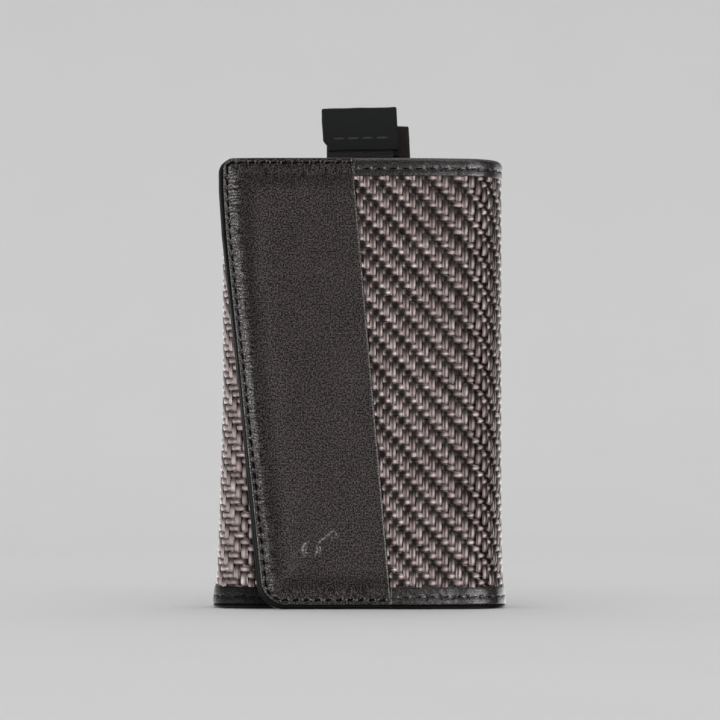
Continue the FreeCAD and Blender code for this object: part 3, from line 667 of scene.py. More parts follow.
def upright_yarn(batch, column, low, top):
    """A bundle that runs up the cover at one column."""
    s = column * PITCH_S
    z = along_steps(low, top, PITCH_Z)
    over = interlace(z / PITCH_Z + column)
    across, height = yarn_section(PITCH_S * (YARN_HALF + 0.03))
    narrow = 1 - 0.05 * (over[:, None] < 0)
    wobble = 0.05 * noise(z * 0.35, column * 3.3, 5)[:, None]
    depth = WEAVE_DEPTH - WEAVE_SWING * over[:, None] - height[None, :]
    rings = at(s + wobble + across[None, :] * narrow, depth, z[:, None])
    u, v = np.broadcast_arrays(z[:, None], across[None, :] / (2 * PITCH_S) + column * 3.0)
    batch.tube(rings, np.stack([u, v], -1))


def level_yarn(batch, row, start, end):
    """A bundle that runs along the cover at one row."""
    z = row * PITCH_Z
    s = along_steps(start, end, PITCH_S)
    over = -interlace(s / PITCH_S + row)
    across, height = yarn_section(PITCH_Z * YARN_HALF)
    wobble = 0.05 * noise(s * 0.35, row * 2.7, 9)[:, None]
    depth = WEAVE_DEPTH - WEAVE_SWING * over[:, None] - height[None, :]
    levels = np.clip(z + wobble + across[None, :], WEAVE_LOW, WEAVE_HIGH)
    rings = at(s[:, None], depth, levels)
    u, v = np.broadcast_arrays(s[:, None], across[None, :] / (2 * PITCH_Z) + row * 3.0 + 500.0)
    batch.tube(rings, np.stack([u, v], -1))


def weave(region, start, end, nodes):
    """The upright and the level bundles of one region, and the dark cloth beneath them."""
    upright, level = Batch(), Batch()
    first = SEAM_TOP if start is None else start
    end = min(end, WING_S - WING_BINDING + 0.6)
    for column in range(math.ceil(first / PITCH_S + 0.5), math.floor(end / PITCH_S - 0.5) + 1):
        low = WEAVE_LOW
        if start is None:
            low = max(low, HEIGHT * (SEAM_LOW - column * PITCH_S) / (SEAM_LOW - SEAM_TOP) - 0.6)
        if low < WEAVE_HIGH - 1:
            upright_yarn(upright, column, low, WEAVE_HIGH)
    for row in range(math.ceil(WEAVE_LOW / PITCH_Z), math.floor(WEAVE_HIGH / PITCH_Z) + 1):
        left = seam(row * PITCH_Z) - 0.4 if start is None else start
        level_yarn(level, row, float(left), end)
    for batch, name in ((upright, "upright"), (level, "level")):
        piece = batch.make(f"{region}_weave_{name}", FIBRE)
        follow(piece)

    z = np.linspace(WEAVE_LOW, WEAVE_HIGH, 25)[:, None]
    left = seam(z) + 0.2 if start is None else np.full(z.shape, start)
    u = np.linspace(0, 1, int((end - first) / 0.8))[None, :]
    s = left + u * (end - left)
    grid = np.broadcast_to(z, s.shape)
    depth = WEAVE_DEPTH + WEAVE_SWING + 0.14
    cloth = shell(f"{region}_weave_backing", s, grid, np.full(s.shape, depth), np.full(s.shape, 1.2), BACKING)
    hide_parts(*nodes)
    follow(cloth)


# ---------------------------------------------------------------------------------------------
# The leather bindings, their stitches and the painted foot edge
# ---------------------------------------------------------------------------------------------

BAND_STITCH = 3.1
STITCH_LENGTH = 2.1
FOOT_EDGE = 1.05
TOP_STITCH_Z = HEIGHT - 2.6
LOW_STITCH_Z = 2.95


def stitch_hole(s, pitch):
    """1 in a stitch hole and 0 midway between two, along a row of stitches."""
    phase = s / pitch - np.floor(s / pitch)
    distance = np.minimum(phase, 1 - phase) * pitch
    return np.exp(-((distance / 0.33) ** 2))


def face_relief(s, z, row, low, high):
    """Outward height of a binding's face: a groove along the stitches, holes, and a soft wavy swell."""
    across = z - row
    groove = 0.14 * np.exp(-((across / 0.45) ** 2))
    holes = 0.38 * stitch_hole(s, BAND_STITCH) * np.exp(-((across / 0.26) ** 2))
    middle = (z - low) / (high - low)
    swell = 0.10 * np.sin(math.pi * np.clip(middle, 0, 1)) * (1 + 0.4 * noise(s * 0.45, z * 0.5, 3))
    pull = 0.03 * noise(s * 1.9, z * 1.3, 17)
    return swell + pull - groove - holes


def band_profile(low, high, row, fold_over):
    """(depth, z) of a binding's section. fold_over rounds the upper edge over to the inner face."""
    rise = np.linspace(0, 1, 13)
    radius = 0.32

    def profile(s):
        corner = np.linspace(0, math.pi / 2, 4)[1:]
        face_z = low + radius + (high - low - radius * (1 if fold_over else 2)) * rise
        if fold_over:
            face_z = low + radius + (high - low - radius - 1.1) * rise
        relief = face_relief(s, face_z[None, :], row, low, high)
        face_depth = 0.06 - relief
        foot_z = low + radius - radius * np.sin(corner)
        foot_depth = 0.06 + radius - radius * np.cos(corner)
        depths, levels = [foot_depth[::-1], face_depth], [foot_z[::-1], face_z]
        if fold_over:
            turn = np.linspace(0, math.pi, 9)[1:]
            depths += [0.06 + 1.1 - 1.1 * np.cos(turn), np.array([2.26, 1.9])]
            levels += [high - 1.1 + 1.1 * np.sin(turn), np.array([low + 0.6, low + 0.3])]
        else:
            depths += [foot_depth, np.array([1.2])]
            levels += [high - radius + radius * np.sin(corner), np.array([high])]
        depths += [np.array([1.2 if not fold_over else 1.7])]
        levels += [np.array([low])]
        shape = (s.shape[0], 1)
        depth = np.concatenate([np.broadcast_to(d, (shape[0], np.shape(d)[-1])) for d in depths], 1)
        level = np.concatenate([np.broadcast_to(v, (shape[0], np.shape(v)[-1])) for v in levels], 1)
        return depth, level

    return profile


def fine_steps(start, end, step):
    return np.linspace(start, end, max(3, int(round((end - start) / step))))


def stitches(name, centres, directions, lifts, material, length=STITCH_LENGTH, radius=0.2):
    """Thread stitches at (s, z) centres, each along its direction, dipping into the holes at both ends."""
    batch = Batch()
    turn = np.linspace(0, 2 * math.pi, 7)[:-1]
    along = np.linspace(-1, 1, 7)
    for (s, z), (ds, dz), lift in zip(centres, directions, lifts):
        size = radius * (1 - 0.35 * np.abs(along) ** 3)
        sink = 0.42 * np.abs(along) ** 3
        centre_s = s + ds * along * length / 2
        centre_z = z + dz * along * length / 2
        side = size[:, None] * np.cos(turn)[None, :]
        up = size[:, None] * np.sin(turn)[None, :]
        rings = at(
            centre_s[:, None] - dz * side,
            lift + sink[:, None] - up,
            centre_z[:, None] + ds * side,
        )
        u, v = np.broadcast_arrays((along * length / 2)[:, None], (turn / 2)[None, :])
        batch.tube(rings, np.stack([u, v], -1))
    return batch.make(name, material)


def stitch_row(name, start, end, z, lift, material, slant=0.07):
    """A row of stitches along the cover, between its holes."""
    first = math.ceil(start / BAND_STITCH)
    last = math.floor(end / BAND_STITCH)
    middles = [(k + 0.5) * BAND_STITCH for k in range(first, last)]
    directions = [(math.cos(slant), math.sin(slant))] * len(middles)
    return stitches(name, [(s, z) for s in middles], directions, [lift] * len(middles), material)


def foot_profile(s):
    """(depth, z) of the painted edge under the bindings: two beads with a fine groove between them."""
    turn = np.linspace(-math.pi * 0.5, math.pi * 0.5, 9)
    outer_depth = 0.62 - 0.50 * np.cos(turn)
    outer_z = 0.56 + 0.52 * np.sin(turn)
    depth = np.concatenate([outer_depth, [2.2, 2.2]])
    level = np.concatenate([outer_z, [1.1, 0.04]])
    wave = 0.03 * noise(s * 0.5, 0.0, 21)
    return depth[None, :] + wave, np.broadcast_to(level, (s.shape[0], level.size))


def bindings(region, start, end, nodes):
    """The two bindings of one region, with their stitches and the painted edge."""
    for name, low, high, row, over, node in (
        ("top", HEIGHT - BAND, HEIGHT, TOP_STITCH_Z, True, nodes[0]),
        ("bottom", FOOT_EDGE, LOW_BAND, LOW_STITCH_Z, False, nodes[1]),
    ):
        first = float(seam(row)) + 0.15 if start is None else start
        s = fine_steps(first, end, 0.3)
        # Painted shade: the wing's bindings take the darker copy of the band leather.
        hide = SHADED_BAND_LEATHER if region == "wing" else BAND_LEATHER
        band = sweep(f"{region}_{name}_binding_leather", s, band_profile(low, high, row, over), hide)
        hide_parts(*node)
        follow(band)
        row_piece = stitch_row(f"{region}_{name}_stitches", first + 0.8, end, row, 0.16, DARK_THREAD)
        follow(row_piece)
    first = SEAM_LOW - 0.4 if start is None else start
    foot = sweep(f"{region}_foot_edge", fine_steps(first, end, 0.8), foot_profile, EDGE_PAINT)
    follow(foot)


# ---------------------------------------------------------------------------------------------
# The flap's leather panel
# ---------------------------------------------------------------------------------------------

LEATHER_COLUMNS = 126
LEATHER_ROW = 0.19
LEATHER_STRIDE = 12
EDGE_STITCH = 2.55
TOP_INSET = 0.05
STITCH_INSET = 1.15
PANEL_DEPTH = 0.12
PANEL_BACK = 1.25
RIDGE_SIDE = 0.40
RIDGE_END = 0.26
RIDGE_PEAK = 2.1
MARK_DEPTH = 0.21
RIM_BEYOND = 0.6


def corner_radius(z, inset):
    """The flap's corners are tighter at its top than at its foot."""
    return np.where(np.asarray(z) > HEIGHT / 2, TOP_CORNER, LOW_CORNER) - inset


def panel_rows():
    """Row heights up the leather, close together at the corners."""
    turn = np.linspace(0, math.pi / 2, 26)
    foot = EDGE_INSET + (LOW_CORNER - EDGE_INSET) * (1 - np.cos(turn))
    head = HEIGHT - TOP_INSET - (TOP_CORNER - EDGE_INSET) * (1 - np.cos(turn[::-1]))
    middle = np.linspace(foot[-1], head[0], int((head[0] - foot[-1]) / LEATHER_ROW))
    return np.concatenate([foot[:-1], middle, head[1:]])


def rounded_left(z, inset, top_inset):
    """s of the free edge at height z, with its two corners rounded."""
    corner = corner_radius(z, inset)
    into = np.minimum(np.minimum(z - inset, HEIGHT - top_inset - z), corner)
    return free_edge(z) + inset + corner - np.sqrt(np.maximum(corner**2 - (corner - into) ** 2, 0))


def edge_distance(s, z):
    """Distance in from the leather's outline, and the distance along it for stitches and puckers."""
    inset = EDGE_INSET
    across = s - free_edge(z) - inset
    up, down = z - inset, HEIGHT - TOP_INSET - z
    nearest = np.minimum(up, down)
    corner = corner_radius(z, inset)
    in_corner = (across < corner) & (nearest < corner)
    round_reach = np.hypot(corner - across, corner - nearest)
    distance = np.where(in_corner, corner - round_reach, np.minimum(across, nearest))
    swing = corner * np.arctan2(corner - nearest, corner - across)
    side = np.where(down < up, 1.0, -1.0)
    straight = HEIGHT / 2 - inset - corner
    along = np.where(in_corner, side * (straight + swing), z - HEIGHT / 2)
    past_corner = side * (straight + corner * math.pi / 2 + across - corner)
    along = np.where((nearest < across) & ~in_corner, past_corner, along)
    return distance, along


def key_mark(s, z):
    """How deep a small key outline is pressed into the leather, 0 to 1."""
    turn = math.radians(38)
    x = (s + 9.3) * math.cos(turn) + (z - 15.6) * math.sin(turn)
    y = -(s + 9.3) * math.sin(turn) + (z - 15.6) * math.cos(turn)
    bow = np.abs(np.hypot(x + 2.6, y) - 1.75) - 0.34
    shaft = np.maximum(np.abs(x - 1.75) - 2.6, np.abs(y) - 0.36)
    tooth = np.maximum(np.abs(x - 3.9) - 0.36, np.abs(y + 0.85) - 0.8)
    second = np.maximum(np.abs(x - 2.5) - 0.36, np.abs(y + 0.65) - 0.6)
    nearest = np.minimum.reduce([bow, shaft, tooth, second])
    return smooth(0.5 - nearest / 0.55)


def panel_relief(s, z, edge_s):
    """Outward height of the leather: rounded edges, stitch line, raised ridge, puckers and the key mark."""
    distance, along = edge_distance(s, z)
    to_seam = edge_s - s
    free = np.clip(distance, 0, None)
    rounding = 0.4 * (1 - np.sqrt(np.clip(1 - np.clip(1 - free / 0.3, 0, 1) ** 2, 0, 1)))
    past_stitch = distance - STITCH_INSET
    groove = 0.03 * np.exp(-((past_stitch / 0.40) ** 2))
    holes = 0.45 * stitch_hole(along, EDGE_STITCH) * np.exp(-((past_stitch / 0.30) ** 2))
    to_end = np.minimum(z, HEIGHT - z)
    ended = smooth(0.5 + (s - free_edge(z) - to_end) / 6)
    strength = RIDGE_SIDE * (1 - ended) + RIDGE_END * ended
    hump = np.where(
        past_stitch < RIDGE_PEAK,
        smooth((past_stitch - 0.25) / (RIDGE_PEAK - 0.25)),
        np.exp(-((past_stitch - RIDGE_PEAK) / 4.6) ** 2),
    )
    calm = smooth(to_seam / 3.0)
    ridge = strength * hump * (0.85 + 0.15 * noise(s * 0.23, z * 0.23, 31)) * (0.35 + 0.65 * calm)
    slant = 0.55 * past_stitch * noise(along * 0.22, 5.0, 17)
    fan = along / 0.78 + slant + 1.5 * noise(along * 0.4, distance * 0.55, 11)
    pucker_reach = np.exp(-(((past_stitch - 1.3) / 1.2) ** 2))
    uneven = 0.65 + 0.6 * noise(along * 0.6, distance, 13)
    puckers = 0.085 * np.sin(2 * math.pi * fan) * pucker_reach * uneven
    puckers = puckers * (1 - 0.5 * ended) * calm
    dimple = 0.05 * noise(s * 0.19, z * 0.15, 41) + 0.02 * noise(s * 0.6, z * 0.5, 43)
    dimple = dimple * smooth(past_stitch / 4)
    lift = 0.12 * np.exp(-((to_seam / 1.2) ** 2))
    turned = 0.15 * np.clip(1 - (to_seam - 0.12) / 0.38, 0, 1) + 0.7 * np.clip(1 - to_seam / 0.12, 0, 1)
    mark = MARK_DEPTH * key_mark(s, z)
    return ridge + puckers + dimple + lift - rounding - groove - holes - turned - mark


def leather_panel():
    """The flap's leather, in one piece from its free edge to the seam."""
    z = panel_rows()[:, None]
    u = np.linspace(0, 1, LEATHER_COLUMNS)
    fold = np.array([0.38, 0.25, 0.12, 0.06, 0.0])
    left = rounded_left(z, EDGE_INSET, TOP_INSET)
    right = seam(z) + 0.25
    s = np.concatenate([left + u[None, :] * (right - 0.5 - left), right - fold[None, :]], axis=1)
    z = np.broadcast_to(z, s.shape)
    front = PANEL_DEPTH - panel_relief(s, z, right)
    piece = shell(
        "flap_panel_leather", s, z, front, np.full(s.shape, PANEL_BACK), COVER_LEATHER, stride=LEATHER_STRIDE
    )
    surface = piece.data.uv_layers["Surface"].data
    places = np.empty(2 * len(surface), np.float32)
    surface.foreach_get("uv", places)
    distance, along = edge_distance(*places.reshape(-1, 2).T)
    edge = piece.data.uv_layers.new(name="Edge").data
    edge.foreach_set("uv", np.stack([along, distance], -1).astype(np.float32).ravel())
    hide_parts("flap_leather_panel")
    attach(piece, "flap")


def panel_outline(inset, top_inset, spacing):
    """Points (s, z) and outward directions along the flap's outline: top, free edge, foot, to the seam."""
    head, foot = TOP_CORNER - inset, LOW_CORNER - inset
    low, high = inset, HEIGHT - top_inset
    tilt = math.atan((EDGE_TOP - EDGE_LOW) / HEIGHT)
    places, outward = [], []

    def left(z):
        return float(free_edge(z)) + inset

    def corner(middle, radius, start, end):
        steps = max(6, int(radius * math.pi / 2 / spacing))
        for turn in np.linspace(start, end, steps, endpoint=False):
            places.append((middle[0] + radius * math.cos(turn), middle[1] + radius * math.sin(turn)))
            outward.append((math.cos(turn), math.sin(turn)))

    for s in np.arange(float(seam(high)), left(high - head) + head, -spacing):
        places.append((s, high))
        outward.append((0.0, 1.0))
    corner((left(high - head) + head, high - head), head, math.pi / 2, math.pi - tilt)
    for z in np.arange(high - head, low + foot, -spacing):
        places.append((left(z), z))
        outward.append((-math.cos(tilt), math.sin(tilt)))
    corner((left(low + foot) + foot, low + foot), foot, math.pi - tilt, math.pi * 1.5)
    for s in np.arange(left(low + foot) + foot, float(seam(low)) + spacing * 0.5, spacing):
        places.append((s, low))
        outward.append((0.0, -1.0))
    return np.array(places), np.array(outward)


def flap_rim():
    """The painted edge round the flap: an outer bead on the lining and an inner one against the leather."""
    for name, inset, width, top, bottom in (
        ("flap_outer_edge", 0.0, 1.5, 0.95, 2.15),
        ("flap_inner_edge", EDGE_INSET - 0.45, 0.9, 0.28, 1.3),
    ):
        places, outward = panel_outline(inset, inset, 0.55)
        along = np.concatenate([[0], np.cumsum(np.linalg.norm(np.diff(places, axis=0), axis=1))])
        turn = np.linspace(math.pi / 2, -math.pi / 2, 9)
        half = (bottom - top) / 2
        reach = np.concatenate([half * np.cos(turn) - half, [-width, -width]])
        depth = np.concatenate([(top + bottom) / 2 - half * np.sin(turn), [bottom, top]])
        waver = 0.025 * noise(along * 0.4, inset * 9, 23)
        sprung = smooth((places[:, 1] - SPRING_FROM) / SPRING_RISE)
        beyond = RIM_BEYOND * sprung * np.clip(-outward[:, 0], 0, 1)
        s = places[:, :1] + outward[:, :1] * (reach[None, :] + (waver + beyond)[:, None])
        z = places[:, 1:] + outward[:, 1:] * (reach[None, :] + waver[:, None])
        rings = at(s, depth[None, :], np.clip(z, 0.03, HEIGHT))
        u, v = np.broadcast_arrays(along[:, None], np.linspace(0, 3, reach.size)[None, :])
        batch = Batch()
        batch.tube(rings, np.stack([u, v], -1))
        piece = batch.make(name, EDGE_PAINT)
        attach(piece, "flap")


def flap_stitches():
    """The stitches round the leather panel, set between the holes pressed into it."""
    places, outward = panel_outline(EDGE_INSET + STITCH_INSET, TOP_INSET + STITCH_INSET, 0.05)
    distance, along = edge_distance(places[:, 0], places[:, 1])
    phase = along / EDGE_STITCH
    middles = np.flatnonzero(np.diff(np.floor(phase + 0.5)) != 0)
    middles = [k for k in middles if abs(phase[k + 1] - phase[k]) < 0.5]
    centres, directions = [], []
    for k in middles:
        direction = places[min(k + 4, len(places) - 1)] - places[max(k - 4, 0)]
        direction = direction / np.linalg.norm(direction)
        skew = 0.10
        turned = (direction[0] - skew * direction[1], direction[1] + skew * direction[0])
        centres.append(tuple(places[k]))
        directions.append(turned)
    lifts = [PANEL_DEPTH + 0.12] * len(centres)
    piece = stitches("flap_panel_stitches", centres, directions, lifts, DARK_THREAD, length=2.0, radius=0.34)
    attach(piece, "flap")


# ---------------------------------------------------------------------------------------------
# Linings, the flap's foam and the wing's edge
# ---------------------------------------------------------------------------------------------

LINING_OUT = 1.8
LINING_IN = 2.2
FOAM_INSET = 2.0
FOAM_OUT = 1.32
FOAM_IN = 1.76
LINING_NODES = {
    "front": ("flap_lining",),
    "back": ("side_lining", "back_lining"),
    "wing": ("wing_lining",),
}


def linings():
    """The smooth inner leather, one piece over each fold."""
    margin = 0.3
    z = np.concatenate([
        np.linspace(margin, 6, 20),
        np.linspace(7, HEIGHT - 7, 30),
        np.linspace(HEIGHT - 6, HEIGHT - margin, 20),
    ])[:, None]
    for region, fold, start, end in REGIONS:
        u = np.linspace(0, 1, 150 if start is None else 110)[None, :]
        if start is None:
            left = rounded_left(z, 0.15, 0.15)
        else:
            left = np.full(z.shape, start)
        s = left + u * (end - left)
        levels = np.broadcast_to(z, s.shape)
        soft = 0.06 * noise(s * 0.25, levels * 0.2, 51)
        border = np.minimum(levels - margin, HEIGHT - margin - levels)
        groove = 0.12 * np.exp(-(((border - 2.0) / 0.35) ** 2))
        inner = LINING_IN + 0.02 + soft * smooth(border / 5) - groove
        outer = np.full(s.shape, LINING_OUT)
        piece = shell(f"{region}_lining_leather", s, levels, outer, inner, INNER_LEATHER)
        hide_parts(*LINING_NODES[region])
        follow(piece)


def flap_foam():
    """The thin foam between the flap's cover and its lining."""
    low, high = box_mm("flap_padding")
    z = np.linspace(low[2], high[2], 60)[:, None]
    left = rounded_left(z, FOAM_INSET, FOAM_INSET)
    s = left + np.linspace(0, 1, 80)[None, :] * (high[0] - left)
    levels = np.broadcast_to(z, s.shape)
    uneven = 0.03 * noise(s * 0.5, levels * 0.5, 57)
    piece = shell("flap_foam", s, levels, FOAM_OUT + uneven, np.full(s.shape, FOAM_IN), FOAM)
    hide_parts("flap_padding")
    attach(piece, "flap")


def wing_edge():
    """The leather strip folded over the wing's free edge, with its stitches."""
    low = WING_S - WING_BINDING
    z = np.linspace(0.2, HEIGHT - 0.2, 240)
    across = np.linspace(0, 1, 12)
    radius = 0.6
    turn = np.linspace(0, math.pi, 9)[1:]
    face_s = low + (WING_BINDING - radius) * across
    s = np.concatenate([face_s, WING_S - radius + radius * np.sin(turn), [low]])
    base = np.concatenate([np.full(12, 0.05), 0.05 + radius - radius * np.cos(turn), [1.2]])
    relief = np.zeros((z.size, s.size))
    inward = face_s - (low + 1.1)
    holes = 0.35 * stitch_hole(z, BAND_STITCH)[:, None] * np.exp(-((inward / 0.26) ** 2))[None, :]
    groove = 0.12 * np.exp(-((inward / 0.45) ** 2))[None, :]
    relief[:, :12] = 0.08 * np.sin(math.pi * across)[None, :] - holes - groove
    rings = at(np.broadcast_to(s, relief.shape), base[None, :] - relief, z[:, None])
    u, v = np.broadcast_arrays(z[:, None], np.linspace(0, 7, s.size)[None, :])
    batch = Batch()
    batch.tube(rings, np.stack([u, v], -1))
    piece = batch.make("wing_edge_leather", BAND_LEATHER)
    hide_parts("wing_edge_binding")
    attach(piece, "wing")
    middles = [(low + 1.1, (k + 0.5) * BAND_STITCH) for k in range(1, int(HEIGHT / BAND_STITCH) - 1)]
    thread_piece = stitches(
        "wing_edge_stitches", middles, [(0.07, 1.0)] * len(middles), [0.14] * len(middles), DARK_THREAD
    )
    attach(thread_piece, "wing")


# ---------------------------------------------------------------------------------------------
# Pull tabs and ribbons
# ---------------------------------------------------------------------------------------------

def ribbon(name):
    """One ribbon, from its sewn end to the fold and up to the tab, in two pieces."""
    fixed = box_mm(f"{name}_ribbon_fixed_leg")
    pulled = box_mm(f"{name}_ribbon_pull_leg")
    fold = box_mm(f"{name}_ribbon_fold")
    left, right = fixed[0][0], fixed[1][0]
    thick = fixed[1][1] - fixed[0][1]
    middle_y = (fold[0][1] + fold[1][1]) / 2
    radius = (fold[1][1] - fold[0][1] - thick) / 2
    low = fold[0][2] + radius + thick / 2

    def strip(piece_name, path):
        path = np.array(path)
        along = np.gradient(path, axis=0)
        along = along / np.linalg.norm(along, axis=1)[:, None]
        side = np.stack([-along[:, 1], along[:, 0]], 1) * thick / 2
        ring_path = np.stack([path - side, path + side], 1)
        x = np.array([left, left, left + 0.3, right - 0.3, right, right, right - 0.3, left + 0.3])
        row = [0, 1, 1, 1, 1, 0, 0, 0]
        squeeze = np.array([0.5, 0.5, 1, 1, 0.5, 0.5, 1, 1])
        centre = path[:, None, :]
        yz = centre + (ring_path[:, row, :] - centre) * squeeze[None, :, None]
        rings = np.concatenate([np.broadcast_to(x, yz.shape[:2])[..., None], yz], -1)
        length = np.concatenate([[0], np.cumsum(np.linalg.norm(np.diff(path, axis=0), axis=1))])
        u, v = np.broadcast_arrays(length[:, None], x[None, :])
        batch = Batch()
        batch.tube(rings, np.stack([u, v], -1))
        return batch.make(piece_name, RIBBON)

    fixed_y = (fixed[0][1] + fixed[1][1]) / 2
    pulled_y = (pulled[0][1] + pulled[1][1]) / 2
    turn = np.linspace(math.pi, 2 * math.pi, 13)
    bend = [(middle_y + radius * math.cos(t), low + radius * math.sin(t)) for t in turn]
    down = [(fixed_y, z) for z in np.linspace(fixed[1][2], low + 0.5, 60)]
    up = [(pulled_y, z) for z in np.linspace(low + 0.5, pulled[1][2] - 1.0, 60)]
    sewn = strip(f"{name}_ribbon_sewn", down + bend)
    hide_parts(f"{name}_ribbon_fixed_leg", f"{name}_ribbon_fold")
    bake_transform(sewn)
    pull = strip(f"{name}_ribbon_pulled", up)
    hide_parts(f"{name}_ribbon_pull_leg")
    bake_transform(pull)


def tab(name, body, material, thread_material, tilt, dashes, seed):
    """A folded leather tab: two leaves joined by a round fold at the top, cut edges and a row of stitches."""
    low, high = box_mm(f"{name}_pull_tab")
    centre = (low + high) / 2
    half = (high - low) / 2
    thick = half[1]
    count = 40
    x = np.linspace(-half[0], half[0], count)
    leaf = np.linspace(-half[2], half[2] - thick, 22)
    turn = np.linspace(math.pi, 0, 11)[1:-1]
    y_front = np.full(leaf.size, -thick)
    path_y = np.concatenate([y_front, thick * np.cos(turn), -y_front])
    path_z = np.concatenate([leaf, half[2] - thick + thick * np.sin(turn), leaf[::-1]])
    sheet = 0.72 * thick
    inner_y = np.concatenate([y_front + sheet, (thick - sheet) * np.cos(turn), -y_front - sheet])
    inner_z = np.concatenate([leaf, half[2] - thick + (thick - sheet) * np.sin(turn), leaf[::-1]])
    across = np.stack(np.broadcast_arrays(x[:, None], path_z[None, :]), -1)
    edge = np.clip((half[0] - np.abs(across[..., 0])) / 0.35, 0, 1)
    wavy = 0.05 * noise(across[..., 0] * 0.35, across[..., 1] * 0.4 + seed, seed)
    press = np.exp(-(((across[..., 1] + half[2] * 0.42) / 0.35) ** 2)) * 0.12
    shrink = 1 - (0.16 * (1 - np.sqrt(1 - (1 - edge) ** 2)) + press * 0.5 - wavy * 0.6)
    outer = np.stack(np.broadcast_arrays(
        x[:, None] + 0.10 * noise(path_z[None, :] * 0.5, seed, 3) * (np.abs(x[:, None]) > half[0] - 0.01),
        path_y[None, :] * shrink,
        path_z[None, :] + 0.07 * noise(x[:, None] * 0.3, seed * 2.0, 5),
    ), -1)
    inner = np.stack(np.broadcast_arrays(x[:, None], inner_y[None, :], inner_z[None, :]), -1)
    rings = np.concatenate([outer, inner[:, ::-1]], 1)
    near_top = np.clip((rings[..., 2] - half[2] + 0.6) / 0.6, 0, 1)
    rings[..., 0] *= 1 - 0.5 / half[0] * (1 - np.sqrt(1 - near_top**2))
    to_left = np.clip(-rings[..., 0] / half[0], 0, 1) ** 2
    rings[..., 0] += 1.2 * smooth((2.8 - half[2] - rings[..., 2]) / 2.0) * to_left
    lean, rise = (math.tan(math.radians(angle)) for angle in tilt)
    rings = rings + np.stack([-rings[..., 2] * lean, rings[..., 0] * 0, rings[..., 0] * rise], -1) + centre
    girth = np.concatenate([path_z + np.where(np.arange(path_z.size) > 26, 40.0, 0.0), inner_z[::-1] + 80.0])
    u, v = np.broadcast_arrays(x[:, None] + seed * 50, girth[None, :])
    batch = Batch()
    batch.tube(rings, np.stack([u, v], -1))
    piece = batch.make(f"{name}_tab_leather", material)
    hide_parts(f"{name}_pull_tab")
    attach(piece, body)

    threads = Batch()
    around = np.linspace(0, 2 * math.pi, 7)[:-1]
    along = np.linspace(-1, 1, 7)
    row_z = -half[2] * 0.42
    for face in (-1, 1):
        for k in range(dashes):
            middle = (k - (dashes - 1) / 2) * 3.45
            local_x = middle + along * 1.6
            size = 0.28 * (1 - 0.3 * np.abs(along) ** 3)
            out = face * (thick * 0.88 - 0.26 * np.abs(along) ** 3)
            ring_x = np.broadcast_to(local_x[:, None], (7, 6))
            ring_y = out[:, None] + size[:, None] * np.sin(around)[None, :]
            ring_z = row_z + size[:, None] * np.cos(around)[None, :]
            ring = np.stack([ring_x - ring_z * lean, ring_y, ring_z + ring_x * rise], -1) + centre
            u, v = np.broadcast_arrays(local_x[:, None], (around / 2)[None, :])
            threads.tube(ring, np.stack([u, v], -1))
    dash = threads.make(f"{name}_tab_stitches", thread_material)
    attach(dash, body)


# ---------------------------------------------------------------------------------------------
# Floor, camera and light
# ---------------------------------------------------------------------------------------------

def stage():
    """A plain pale floor that curves up into a backdrop."""
    width, front, back, radius, top = 2.4, -2.2, 0.55, 0.35, 1.9
    turn = np.linspace(0, math.pi / 2, 24)
    y = np.concatenate([[front], back + radius * np.sin(turn), [back + radius]])
    z = np.concatenate([[0.0], radius - radius * np.cos(turn), [top]])
    points = np.array([(x, yy, zz) for x in (-width, width) for yy, zz in zip(y, z)]) / MM
    count = len(y)
    quads = [(k, k + count, k + count + 1, k + 1) for k in range(count - 1)]
    n = Nodes("pale_floor")
    grain = n.noise(n.place(), 0.02, detail=3.0)
    material = n.set(
        colour=n.ramp(grain, [(0.3, (0.795, 0.795, 0.795)), (0.7, (0.805, 0.805, 0.805))]),
        roughness=0.9, specular=0.0,
    )
    floor = object_from("pale_backdrop", points, quads, points[:, :2] * 0, material)
    floor.visible_glossy = False


def camera():
    """Level with the lower part of the case, straight in front of it."""
    distance, eye, middle, width = 0.55, 0.030, 0.0585, 0.1687
    data = bpy.data.cameras.new("camera")
    data.sensor_width = 36
    data.lens = data.sensor_width * distance / width
    data.shift_y = (middle - eye) / width
    obj = bpy.data.objects.new("camera", data)
    obj.location = (0, -HALF_DEPTH * MM - distance, eye)
    obj.rotation_euler = (math.pi / 2, 0, 0)
    bpy.context.scene.collection.objects.link(obj)
    bpy.context.scene.camera = obj


MIX_FIRST_COLOUR = 6
MIX_SECOND_COLOUR = 7
MIX_COLOUR_OUT = 2


